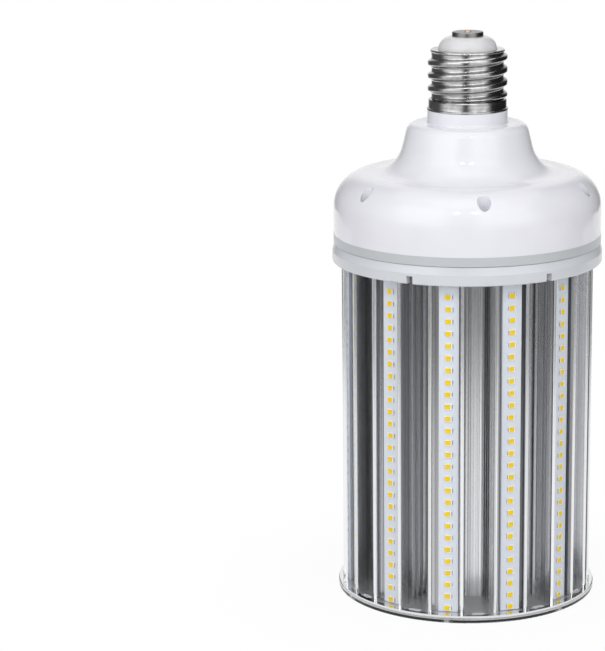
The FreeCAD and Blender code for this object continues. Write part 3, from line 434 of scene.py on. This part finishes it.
def clear_plastic():
    clear = Finish("clear_cover", (0.84, 0.85, 0.86), 0.04)
    haze = clear.noise((120, 120, 120), 2.0)
    clear.gloss(haze, 0.03, 0.09)
    clear.relief(haze, 0.005 * MM, 0.3)
    clear.set(Transmission_Weight=1.0, IOR=1.49)
    return clear.material


PHOSPHOR = phosphor()
CHIP_CUP = moulded("chip_cup", (0.95, 0.95, 0.93), 0.35, 0.005)
# the legs' metal, which at the right-hand end also covers a painted shadow of the chip
CHIP_LEG_AND_SHADOW = dull_metal("chip_leg_and_shadow", (0.55, 0.55, 0.57), 0.35)
CLEAR = clear_plastic()
print("chip and cover finishes ready")

# %% [markdown]
# ## Finishes inside the housing
# Nobody sees the driver while the housing is on, but a lamp that is taken apart
# shows it. Each part gets the finish of its kind: pressed ferrite, winding tape,
# printed sleeves without print, dipped resin and enamelled wire.

# %% Driver finishes
def wound_wire(name, colour, turns_per_metre):
    wire = Finish(name, colour, 0.3, 0.6)
    wave = wire.nodes.new("ShaderNodeTexWave")
    wave.bands_direction = "Z"
    wave.inputs["Scale"].default_value = turns_per_metre
    wire.join(wire.place(), wave.inputs["Vector"])
    wire.tones(wave.outputs["Fac"], (0.0, shade(colour, 0.5)), (0.8, colour))
    wire.relief(wave.outputs["Fac"], 0.2 * MM, 0.8)
    return wire.material


FERRITE = moulded("ferrite", (0.045, 0.045, 0.05), 0.6, 0.05)
TAPE = moulded("winding_tape", (0.75, 0.52, 0.06), 0.35, 0.03)
SLEEVE = moulded("shrunk_sleeve", (0.02, 0.022, 0.03), 0.3, 0.02)
RESIN = moulded("dipped_resin", (0.02, 0.07, 0.35), 0.25, 0.05)
RECTIFIER = moulded("rectifier_resin", (0.02, 0.02, 0.02), 0.5, 0.04)
WINDING = wound_wire("copper_winding", (0.75, 0.32, 0.12), 400)
LEAD_BLACK = moulded("lead_black", (0.02, 0.02, 0.02), 0.4, 0.02)
LEAD_WHITE = moulded("lead_white", (0.8, 0.8, 0.77), 0.4, 0.02)
print("driver finishes ready")

# %% [markdown]
# ## Dressing the measured pieces
# A measured piece keeps its mesh, and only its material slots change. Turned
# pieces are shaded smooth up to a limit angle, so that faces of one curve melt
# together while true edges stay crisp.

# %% Give each measured piece its finish
SMOOTH_LIMIT = math.radians(28)
FINISHES = {
    "heat_sink": EXTRUDED,
    "top_plate": RING_GREY,
    "housing_base": BASE_GREY,
    "driver_housing": HOUSING_WHITE,
    "base_insulator": INSULATOR,
    "centre_contact": CONTACT,
    "end_plate": PUNCHED,
    "end_board": END_MASK,
    "end_cover": CLEAR,
    "driver_board": DRIVER_MASK,
    "transformer_core": FERRITE,
    "transformer_coil": TAPE,
    "mains_capacitors": SLEEVE,
    "output_capacitors": SLEEVE,
    "film_capacitor": RESIN,
    "bridge_rectifier": RECTIFIER,
    "choke_coil": WINDING,
    "contact_lead": LEAD_BLACK,
    "shell_lead": LEAD_WHITE,
    "end_board_lead": LEAD_WHITE,
}
for strip in range(1, STRIPS + 1):
    FINISHES[f"led_board_{strip:02d}"] = STRIP_MASK


def dress(piece, material):
    piece.data.materials.clear()
    piece.data.materials.append(material)
    piece.data.shade_smooth()
    piece.data.set_sharp_from_angle(angle=SMOOTH_LIMIT)


for node, material in FINISHES.items():
    dress(nodes[node], material)
print(f"{len(FINISHES)} measured pieces dressed")

# %% [markdown]
# ## Adding pieces of our own
# Fine detail replaces the plain solids that only hold its place: chips, screws,
# the rolled thread and the solder. Each new piece is built with bmesh, named
# after what it replaces, and rides on the same body as the measured parts.

# %% Turn a mesh into a piece of the lamp
def add_piece(name, mesh_maker, materials, node):
    shape = bmesh.new()
    mesh_maker(shape)
    bmesh.ops.recalc_face_normals(shape, faces=shape.faces)
    data = bpy.data.meshes.new(name)
    shape.to_mesh(data)
    shape.free()
    for material in materials:
        data.materials.append(material)
    data.shade_smooth()
    data.set_sharp_from_angle(angle=SMOOTH_LIMIT)
    piece = bpy.data.objects.new(name, data)
    bpy.context.scene.collection.objects.link(piece)
    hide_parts(node)
    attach(piece, "root")
    print(f"{name}: {len(data.polygons)} faces")
    return piece


# %% [markdown]
# ## Light chips
# A chip is 3.5 by 2.8 mm: a cup with bevelled corners, a yellow window set a
# little below its rim, and a metal leg at each short end. The leg at the right-hand
# end reaches out wider, and that extra dark width is a painted shadow of the chip.
# It is modelled once from loops of points, and then stamped along every strip.
# Hand placing leaves each chip a hair off its grid, and a seeded random keeps that the same in
# every run.

# %% One chip, and a way to stamp it
CHIP_LONG = 3.5 * MM
CHIP_WIDE = 2.8 * MM
CHIP_RIM = 0.2 * MM
RIGHT_RIM = 0.6 * MM
CHIP_BEVEL = 0.12 * MM
WINDOW_SINK = 0.1 * MM
LEG_WIDE = 1.9 * MM
LEG_OUT = 0.22 * MM
# painted shadow: the right-hand leg reaches out this far, past the leg itself
LEG_AND_SHADOW_OUT = 0.4 * MM
LEG_TALL = 0.22 * MM


def octagon(half_long, half_wide, corner, height):
    # a rectangle with cut corners, at one height above the board
    return [
        Vector((along, across, height))
        for along, across in (
            (half_long - corner, -half_wide), (half_long, -half_wide + corner),
            (half_long, half_wide - corner), (half_long - corner, half_wide),
            (-half_long + corner, half_wide), (-half_long, half_wide - corner),
            (-half_long, -half_wide + corner), (-half_long + corner, -half_wide),
        )
    ]


def window(half_long, half_wide, height):
    # the window's loop: its rim is wider at the right-hand end
    aside = Vector(((CHIP_RIM - RIGHT_RIM) / 2, 0, 0))
    loop = octagon(half_long - (CHIP_RIM + RIGHT_RIM) / 2, half_wide - CHIP_RIM,
                   2 * CHIP_BEVEL, height)
    return [point + aside for point in loop]


def bridge(shape, lower, upper, material):
    count = len(lower)
    for index in range(count):
        follower = (index + 1) % count
        corners = (lower[index], lower[follower], upper[follower], upper[index])
        shape.faces.new(corners).material_index = material


def stamp_chip(shape, place, tall):
    # loops from the foot of the cup up over its rim and down to the window
    half_long = CHIP_LONG / 2
    half_wide = CHIP_WIDE / 2
    levels = (
        octagon(half_long, half_wide, CHIP_BEVEL, 0),
        octagon(half_long, half_wide, CHIP_BEVEL, tall - CHIP_BEVEL),
        octagon(half_long - CHIP_BEVEL, half_wide - CHIP_BEVEL, CHIP_BEVEL, tall),
        window(half_long, half_wide, tall),
        window(half_long, half_wide, tall - WINDOW_SINK),
    )
    loops = [[shape.verts.new(place @ point) for point in level] for level in levels]
    for lower, upper in zip(loops, loops[1:]):
        bridge(shape, lower, upper, 0)
    shape.faces.new(loops[-1]).material_index = 1
    shape.faces.new(reversed(loops[0])).material_index = 0
    for side in (-1, 1):
        stamp_leg(shape, place, side * half_long)


def stamp_leg(shape, place, end):
    # a low tab of solder and leg at one short end; at the right-hand end it reaches wider, and
    # that extra width is a painted shadow of the chip
    out = LEG_AND_SHADOW_OUT if end > 0 else -LEG_OUT
    low = [(end - out, -LEG_WIDE / 2), (end + out, -LEG_WIDE / 2),
           (end + out, LEG_WIDE / 2), (end - out, LEG_WIDE / 2)]
    foot = [shape.verts.new(place @ Vector((x, y, 0))) for x, y in low]
    inner = [(end - out, -LEG_WIDE / 2), (end + out / 3, -LEG_WIDE / 2),
             (end + out / 3, LEG_WIDE / 2), (end - out, LEG_WIDE / 2)]
    top = [shape.verts.new(place @ Vector((x, y, LEG_TALL))) for x, y in inner]
    bridge(shape, foot, top, 2)
    shape.faces.new(top).material_index = 2
    shape.faces.new(reversed(foot)).material_index = 2


print("chip ready:", CHIP_LONG / MM, "x", CHIP_WIDE / MM, "mm")

# %% [markdown]
# ## Rows of chips on the strips
# The measured rows say where each chip stands. Their solids are boxes of eight
# corners, so every eight points in a row's mesh would be one chip, but an export
# may split corners. Counting from the row's foot with the pitch is safer: the
# first and last chip's middles come from the row's box.

# %% Twelve strips of chips
CHIPS_IN_ROW = 27
HAND_SHIFT = 0.22 * MM
HAND_TURN = 2
hand = random.Random(7)


def strip_frame(turn, face, across, up):
    # a place on a strip: local X sideways, local Y up, local Z out of the board
    sideways = Vector((-math.sin(turn), math.cos(turn), 0))
    outward = Vector((math.cos(turn), math.sin(turn), 0))
    spot = outward * face + sideways * across + AXIS * up
    return Matrix.Translation(spot) @ Matrix((sideways, AXIS, outward)).transposed().to_4x4()


def row_maker(strip):
    turn = STRIP_TURN + (strip - 1) * STRIP_STEP
    outward = Vector((math.cos(turn), math.sin(turn), 0))
    sideways = Vector((-math.sin(turn), math.cos(turn), 0))
    chips = [point.co for point in nodes[f"strip_leds_{strip:02d}"].data.vertices]
    near = min(point.dot(outward) for point in chips)
    far = max(point.dot(outward) for point in chips)
    left = min(point.dot(sideways) for point in chips)
    right = max(point.dot(sideways) for point in chips)
    low = min(point.z for point in chips) + CHIP_WIDE / 2
    high = max(point.z for point in chips) - CHIP_WIDE / 2
    pitch = (high - low) / (CHIPS_IN_ROW - 1)

    def make(shape):
        for chip in range(CHIPS_IN_ROW):
            across = (left + right) / 2 + hand.uniform(-HAND_SHIFT, HAND_SHIFT)
            place = strip_frame(turn, near, across, low + chip * pitch)
            tilt = Matrix.Rotation(math.radians(hand.uniform(-HAND_TURN, HAND_TURN)), 4, "Z")
            stamp_chip(shape, place @ tilt, far - near)

    return make


for strip in range(1, STRIPS + 1):
    node = f"strip_leds_{strip:02d}"
    add_piece(f"chip_row_{strip:02d}", row_maker(strip), (CHIP_CUP, PHOSPHOR, CHIP_LEG_AND_SHADOW),
              node)

# %% [markdown]
# ## Chips on the lower end
# The round board carries two rings of the same chip, facing the floor. They are
# laid with their long side across the ring's radius, as the strips lay theirs
# across the strip.

# %% Two rings of chips
CHIPS_IN_RING = 32
OUTER_RING = 46.3 * MM
INNER_RING = 39.4 * MM


def end_rings(shape):
    low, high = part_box("end_leds")
    tall = high.z - low.z
    for ring in (OUTER_RING, INNER_RING):
        for chip in range(CHIPS_IN_RING):
            turn = 2 * math.pi * chip / CHIPS_IN_RING
            outward = Vector((math.cos(turn), math.sin(turn), 0))
            sideways = Vector((-math.sin(turn), math.cos(turn), 0))
            facing = Matrix((sideways, outward, -AXIS)).transposed().to_4x4()
            stamp_chip(shape, Matrix.Translation(outward * ring + AXIS * high.z) @ facing, tall)


add_piece("end_chips", end_rings, (CHIP_CUP, PHOSPHOR, CHIP_LEG_AND_SHADOW), "end_leds")

# %% [markdown]
# ## Screws with a cross recess
# Each screw is a low domed head with a cross-shaped recess and a threaded shank.
# A boolean could cut the recess, but it leaves ragged meshes on small heads, so
# the head is built as rings of points, and those of the recess are pushed in
# where they lie on the cross.

# %% A screw as rings of points
RING_POINTS = 32
# shares of the head's radius
HEAD_RINGS = (0.06, 0.12, 0.2, 0.28, 0.36, 0.44, 0.52, 0.6, 0.72, 0.84, 0.93, 1.0)
CROSS_HALF = 0.16
CROSS_REACH = 0.56
CROSS_SLOPE = 0.06
CROSS_RISE = 0.6
# shares of the head's height
HEAD_EDGE = 0.45
CROSS_SINK = 0.75
DOME_POWER = 2.6
# shares of the shank's radius
THREAD_DEEP = 0.18
POINT_TAPER = 0.75
ROWS_PER_TURN = 6


def cross_depth(angle, share):
    # how far a point of the head lies inside the recess, from 0 to 1
    if share > CROSS_REACH:
        return 0.0
    across = share * min(abs(math.sin(angle)), abs(math.cos(angle)))
    inside = (CROSS_HALF - across) / CROSS_SLOPE
    return max(0.0, min(1.0, inside)) * (1.0 - CROSS_RISE * share)


def stamp_screw(shape, place, shank, head, head_tall, long, pitch):
    # the head's crown is at +Z, its seat at z = 0 and the shank runs down
    rows = []
    for share in HEAD_RINGS:
        round_off = math.sqrt(max(0.0, 1 - share ** DOME_POWER))
        dome = head_tall * (HEAD_EDGE + (1 - HEAD_EDGE) * round_off)
        row = []
        for index in range(RING_POINTS):
            angle = 2 * math.pi * index / RING_POINTS
            sunk = dome - CROSS_SINK * head_tall * cross_depth(angle, share)
            row.append((share * head, angle, sunk))
        rows.append(row)
    rows.append([(head, 2 * math.pi * i / RING_POINTS, 0.0) for i in range(RING_POINTS)])
    steps = max(8, int(long / pitch * ROWS_PER_TURN))
    for step in range(steps + 1):
        depth = long * step / steps
        past = max(0.0, depth - long + shank)
        taper = 1.0 - POINT_TAPER * past / shank
        row = []
        for index in range(RING_POINTS):
            angle = 2 * math.pi * index / RING_POINTS
            wave = 0.5 + 0.5 * math.cos(2 * math.pi * depth / pitch + angle)
            thread = 1 - THREAD_DEEP + THREAD_DEEP * wave
            row.append((shank * taper * thread, angle, -depth))
        rows.append(row)
    loops = [
        [shape.verts.new(place @ Vector((r * math.cos(a), r * math.sin(a), z))) for r, a, z in row]
        for row in rows
    ]
    for upper, lower in zip(loops, loops[1:]):
        bridge(shape, lower, upper, 0)
    shape.faces.new(loops[0])
    shape.faces.new(reversed(loops[-1]))


def screws_like(node, head_up, shank, head, pitch):
    # one screw for each solid of a measured group, told apart by its angle
    points = [point.co for point in nodes[node].data.vertices]
    low = min(point.z for point in points)
    high = max(point.z for point in points)
    heads = [p for p in points if abs(p.z - (high if head_up else low)) < 1e-5]
    spots = []
    for point in heads:
        near = [s for s in spots if (s[0] - point.xy).length < 2.2 * head]
        if near:
            near[0][1].append(point.xy.copy())
        else:
            spots.append((point.xy.copy(), [point.xy.copy()]))
    middles = []
    for _, found in spots:
        xs = [p.x for p in found]
        ys = [p.y for p in found]
        middles.append(Vector(((min(xs) + max(xs)) / 2, (min(ys) + max(ys)) / 2)))
    wide = [p.z for p in points if any(
        abs((p.xy - m).length - head) < 0.05 * MM for m in middles)]
    head_tall = max(wide) - min(wide)
    seat = high - head_tall if head_up else low + head_tall
    long = (high - low) - head_tall

    def make(shape):
        for spot in middles:
            place = Matrix.Translation(Vector((spot.x, spot.y, seat)))
            if not head_up:
                place = place @ Matrix.Rotation(math.pi, 4, "X")
            turned = place @ Matrix.Rotation(hand.uniform(0, math.pi), 4, "Z")
            stamp_screw(shape, turned, shank, head, head_tall, long, pitch)

    print(f"{node}: {len(middles)} screws, {long / MM:.1f} mm long")
    return make


SCREW_SIZES = {
    "cover_screws": (False, 1.45 * MM, 2.8 * MM, 1.1 * MM),
    "board_screws": (False, 1.2 * MM, 2.2 * MM, 0.9 * MM),
    "plate_screws": (True, 1.45 * MM, 2.8 * MM, 1.1 * MM),
    "housing_screws": (True, 1.45 * MM, 2.8 * MM, 1.1 * MM),
    "driver_screws": (True, 1.2 * MM, 2.2 * MM, 0.9 * MM),
}
for node, (head_up, shank, head, pitch) in SCREW_SIZES.items():
    maker = screws_like(node, head_up, shank, head, pitch)
    add_piece("threaded_" + node, maker, (SCREW_STEEL,), node)

# %% [markdown]
# ## The rolled thread of the cap
# The shell's thread is a wave that climbs one pitch in each turn, and fades out
# into the plain rim and into the rolled edge at the top. Sweeping a profile along
# a helix would leave open ends to patch. It is simpler to treat the shell as a
# turned wall whose radius depends on height and angle: the wave's phase moves on
# with the angle, and a fade takes it away at both ends.

# %% Radius of the shell at any height and angle
THREAD_PITCH = 6.35 * MM
CREST = 19.65 * MM
ROOT = 17.8 * MM
SHELL_WALL = 0.5 * MM
RIM_RADIUS = 19.3 * MM
LIP_RADIUS = 20.0 * MM
RIM_TALL = 5.4 * MM
LIP_TALL = 1.0 * MM
TOP_RADIUS = 18.4 * MM
MOUTH_RADIUS = 14.6 * MM
CREST_AT_FRONT_RIGHT = 26.3 * MM
# the thread starts above the rim and ends below the shell's top
THREAD_START = (-0.2 * MM, 1.6 * MM)
THREAD_END = (3.2 * MM, 1.6 * MM)
CREST_ROUND = 0.08
THREAD_ROWS = 84
SHELL_SECTIONS = 144
shell_low, shell_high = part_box("screw_shell")


def smooth_step(value, start, end):
    share = max(0.0, min(1.0, (value - start) / (end - start)))
    return share * share * (3 - 2 * share)


def thread_radius(height, angle):
    # height is measured from the shell's foot; a crest passes the +X side at
    # CREST_AT_FRONT_RIGHT and climbs one pitch per turn
    phase = (height - CREST_AT_FRONT_RIGHT) / THREAD_PITCH - angle / (2 * math.pi)
    wave = 0.5 + 0.5 * math.cos(2 * math.pi * phase)
    wave = smooth_step(wave, CREST_ROUND, 1 - CREST_ROUND)
    top = shell_high.z - shell_low.z
    begun = smooth_step(height, RIM_TALL + THREAD_START[0], RIM_TALL + THREAD_START[1])
    ended = smooth_step(height, top - THREAD_END[0], top - THREAD_END[1])
    return ROOT + (CREST - ROOT) * wave * begun * (1 - ended)


def shell_profile(angle):
    # outside from foot to mouth, then back down the inside
    top = shell_high.z - shell_low.z
    outside = [(LIP_RADIUS - 0.25 * MM, 0.0), (LIP_RADIUS, 0.25 * MM),
               (LIP_RADIUS, LIP_TALL - 0.25 * MM), (LIP_RADIUS - 0.25 * MM, LIP_TALL),
               (RIM_RADIUS + 0.05 * MM, LIP_TALL + 0.15 * MM),
               (RIM_RADIUS, LIP_TALL + 0.5 * MM), (RIM_RADIUS, RIM_TALL - 0.6 * MM),
               (RIM_RADIUS - 0.3 * MM, RIM_TALL - 0.2 * MM)]
    end = top - 1.5 * MM
    for step in range(THREAD_ROWS + 1):
        height = RIM_TALL + (end - RIM_TALL) * step / THREAD_ROWS
        outside.append((thread_radius(height, angle), height))
    outside += [(TOP_RADIUS - 0.15 * MM, top - 1.1 * MM), (TOP_RADIUS, top - 0.75 * MM),
                (TOP_RADIUS - 0.15 * MM, top - 0.3 * MM), (TOP_RADIUS - 0.6 * MM, top),
                (MOUTH_RADIUS + 0.2 * MM, top), (MOUTH_RADIUS, top - 0.15 * MM)]
    inside = [(MOUTH_RADIUS, top - SHELL_WALL), (ROOT - SHELL_WALL, top - SHELL_WALL),
              (ROOT - SHELL_WALL, 0.0)]
    return outside + inside


def rolled_shell(shape):
    rings = []
    for section in range(SHELL_SECTIONS):
        angle = 2 * math.pi * section / SHELL_SECTIONS
        ring = []
        for radius, height in shell_profile(angle):
            spot = Vector((radius * math.cos(angle), radius * math.sin(angle),
                           shell_low.z + height))
            ring.append(shape.verts.new(spot))
        rings.append(ring)
    for one, other in zip(rings, rings[1:] + rings[:1]):
        bridge(shape, one, other, 0)


add_piece("rolled_shell", rolled_shell, (NICKEL,), "screw_shell")

# %% [markdown]
# ## The drop of solder
# The lead comes up through the contact and ends in a drop of solder. A drop is a
# turned shape with an uneven edge, so its rings are turned about the axis and
# nudged by a slow wave.

# %% Solder on the contact
DROP_RINGS = (0.0, 0.25, 0.5, 0.72, 0.88, 0.97)
DROP_LOBES = 3
DROP_UNEVEN = 0.07


def solder_drop(shape):
    low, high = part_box("contact_solder")
    wide = (high.x - low.x) / 2
    tall = high.z - low.z
    loops = []
    for share in DROP_RINGS:
        radius = wide * math.sqrt(1 - share ** 2)
        loop = []
        for index in range(RING_POINTS):
            angle = 2 * math.pi * index / RING_POINTS
            out = radius * (1 - DROP_UNEVEN + DROP_UNEVEN * math.cos(DROP_LOBES * angle + 1.2))
            spot = Vector((out * math.cos(angle), out * math.sin(angle), low.z + tall * share))
            loop.append(shape.verts.new(spot))
        loops.append(loop)
    for lower, upper in zip(loops, loops[1:]):
        bridge(shape, lower, upper, 0)
    shape.faces.new(loops[-1])
    shape.faces.new(reversed(loops[0]))


add_piece("solder_drop", solder_drop, (SOLDER,), "contact_solder")

# %% [markdown]
# ## Studio
# The lamp stands on a pale floor in a white surround. Two tall soft lights at the
# sides and one overhead give the bright bands on the cap and the rails. Metal
# shows only what surrounds it, so a black card at each side and a narrow one by
# the camera put the dark bands between them, as a product photographer does. The
# cards are seen by reflections alone, and shade nothing. The floor lies a tenth
# of a millimetre low, so that it and the lamp's foot don't share one plane.

# %% Floor and surround
# the floor is dark under the lamp, takes a little of its shade beside it and runs
# out to plain white: two fades, each from near to far and from dim to full
FLOOR_SHADES = ((0.0595, 0.0632, 0.45), (0.067, 0.16, 0.95))
FLOOR_SIDE = 8.0
UNDER_LAMP = Vector((0, 0, -0.1 * MM))
SURROUND_LEVEL = 0.42


def pale_floor():
    floor = Finish("studio_floor", (0.86, 0.86, 0.86), 0.6)
    tree_nodes = floor.nodes
    rays = tree_nodes.new("ShaderNodeLightPath")
    seen = floor.maths("MAXIMUM", rays.outputs["Is Camera Ray"], rays.outputs["Is Glossy Ray"])
    seen = floor.maths("MAXIMUM", seen, rays.outputs["Is Transmission Ray"])
    glow = tree_nodes.new("ShaderNodeEmission")
    glow.inputs["Strength"].default_value = 1.0
    away = tree_nodes.new("ShaderNodeVectorMath")
    away.operation = "LENGTH"
    floor.join(floor.place(), away.inputs[0])
    for near, far, dim in FLOOR_SHADES:
        seen = floor.maths("MULTIPLY", seen, fade(floor, away.outputs["Value"], near, far, dim, 1))
    blend = tree_nodes.new("ShaderNodeMixShader")
    floor.join(seen, blend.inputs["Fac"])
    floor.join(floor.shader.outputs[0], blend.inputs[1])
    floor.join(glow.outputs[0], blend.inputs[2])
    floor.join(blend.outputs[0], tree_nodes["Material Output"].inputs["Surface"])
    return floor.material


def stage_plane(name, place, material):
    shape = bmesh.new()
    bmesh.ops.create_grid(shape, x_segments=1, y_segments=1, size=0.5, matrix=place)
    data = bpy.data.meshes.new(name)
    shape.to_mesh(data)
    shape.free()
    data.materials.append(material)
    plane = bpy.data.objects.new(name, data)
    bpy.context.scene.collection.objects.link(plane)
    return plane


def surround():
    world = bpy.data.worlds.new("studio")
    world.use_nodes = True
    bpy.context.scene.world = world
    tree = world.node_tree
    rays = tree.nodes.new("ShaderNodeLightPath")
    seen = rays.outputs["Is Camera Ray"]
    for other in ("Is Glossy Ray", "Is Transmission Ray"):
        either = tree.nodes.new("ShaderNodeMath")
        either.operation = "MAXIMUM"
        tree.links.new(seen, either.inputs[0])
        tree.links.new(rays.outputs[other], either.inputs[1])
        seen = either.outputs[0]
    level = tree.nodes.new("ShaderNodeMapRange")
    level.inputs["To Min"].default_value = SURROUND_LEVEL
    level.inputs["To Max"].default_value = 1.0
    tree.links.new(seen, level.inputs["Value"])
    sky = tree.nodes["Background"]
    sky.inputs["Color"].default_value = (1, 1, 1, 1)
    tree.links.new(level.outputs["Result"], sky.inputs["Strength"])


floor_place = Matrix.Translation(UNDER_LAMP) @ Matrix.Scale(FLOOR_SIDE, 4)
stage_plane("floor", floor_place, pale_floor())
surround()
print("floor and surround ready")

# %% [markdown]
# ## Lights and cards
# Each light is placed by its bearing round the lamp, its distance and its height,
# and faces the middle of the lamp. A bearing of 0 is in front, where the viewer
# stands, and grows to the viewer's right. Two small lamps near the viewer leave
# the pair of bright spots that glossy plastic shows. The low cards darken the
# upper half of what the rails reflect, and the cards' sides fade out, because a
# hard edge would draw a line on every rail.

# %% Soft lights and black cards
LAMP_MIDDLE = Vector((0, 0, cad_high.z / 2))


def around(bearing, distance, height):
    turn = math.radians(bearing)
    return Vector((distance * math.sin(turn), -distance * math.cos(turn), height))


def facing(spot, target):
    return (spot - target).to_track_quat("Z", "Y").to_matrix().to_4x4()


def soft_light(name, bearing, distance, height, wide, tall, power):
    light = bpy.data.lights.new(name, "AREA")
    light.shape = "RECTANGLE"
    light.size = wide
    light.size_y = tall
    light.energy = power
    holder = bpy.data.objects.new(name, light)
    bpy.context.scene.collection.objects.link(holder)
    spot = around(bearing, distance, height)
    holder.matrix_world = Matrix.Translation(spot) @ facing(spot, LAMP_MIDDLE)
    return holder


def black_card(name, bearing, distance, height, wide, tall, depth, soft):
    card = Finish(name, (depth, depth, depth), 1.0)
    across = card.nodes.new("ShaderNodeSeparateXYZ")
    card.join(card.nodes.new("ShaderNodeTexCoord").outputs["Generated"], across.inputs[0])
    aside = card.maths("ABSOLUTE", card.maths("SUBTRACT", across.outputs["X"], 0.5))
    glow = card.nodes.new("ShaderNodeEmission")
    card.join(fade(card, aside, 0.5 - soft, 0.5, depth, 1), glow.inputs["Strength"])
    card.join(glow.outputs[0], card.nodes["Material Output"].inputs["Surface"])
    spot = around(bearing, distance, height)
    size = Matrix.Diagonal((wide, tall, 1, 1))
    place = Matrix.Translation(spot) @ facing(spot, Vector((0, 0, height))) @ size
    plane = stage_plane(name, place, card.material)
    plane.visible_camera = False
    plane.visible_diffuse = False
    plane.visible_shadow = False
    plane.visible_transmission = False
    return plane


LIGHTS = (
    ("left_softbox", -38, 1.5, 0.95, 1.6, 1.6, 8.9),
    ("right_softbox", 32, 1.5, 0.95, 1.6, 1.6, 7.2),
    ("overhead_softbox", 0, 0.35, 1.7, 1.2, 0.9, 3.4),
    ("left_small_lamp", -9.7, 0.45, 0.57, 0.05, 0.06, 0.11),
    ("right_small_lamp", 7.7, 0.45, 0.57, 0.05, 0.06, 0.11),
)
CARDS = (
    ("right_card", 112, 0.5, 0.5, 1.5, 0.8, 0.02, 0.25),
    ("left_card", -118, 0.5, 0.5, 1.2, 0.8, 0.1, 0.3),
    ("camera_card", -5, 0.5, 0.45, 0.28, 0.7, 0.06, 0.4),
    ("low_front_card", 0, 0.5, 0.05, 0.86, 0.1, 0.2, 0.02),
    ("low_left_card", -72, 0.5, 0.05, 0.86, 0.1, 0.2, 0.02),
    ("low_right_card", 72, 0.5, 0.05, 0.86, 0.1, 0.2, 0.02),
)
for light in LIGHTS:
    soft_light(*light)
for card in CARDS:
    black_card(*card)
print(len(LIGHTS), "lights and", len(CARDS), "cards")

# %% [markdown]
# ## Camera
# The lamp was photographed from a little above its middle, about 1.3 m away. The
# place, the bearing and the lens below come from fitting a camera to the lamp's
# rims and strips. The picture shows the lamp right of its middle, so the camera
# turns a little to the left and rolls back by a fraction of a degree to keep the
# lamp upright.

# %% The camera
CAMERA_SPOT = Vector((-0.00395, -1.26734, 0.4355))
SENSOR = 36.0
LOOK_LEFT = math.radians(3.558)
LOOK_DOWN = math.radians(13.3224)
ROLL = math.radians(-0.627)
LENS = 142.75


def make_camera():
    data = bpy.data.cameras.new("camera")
    data.lens = LENS
    data.sensor_width = SENSOR
    data.clip_start = 0.05
    data.clip_end = 50
    camera = bpy.data.objects.new("camera", data)
    bpy.context.scene.collection.objects.link(camera)
    turn = Matrix.Rotation(LOOK_LEFT, 4, "Z") @ Matrix.Rotation(math.pi / 2 - LOOK_DOWN, 4, "X")
    camera.matrix_world = Matrix.Translation(CAMERA_SPOT) @ turn @ Matrix.Rotation(ROLL, 4, "Z")
    bpy.context.scene.camera = camera


make_camera()
bpy.context.scene.view_settings.view_transform = "Standard"
print("camera ready")
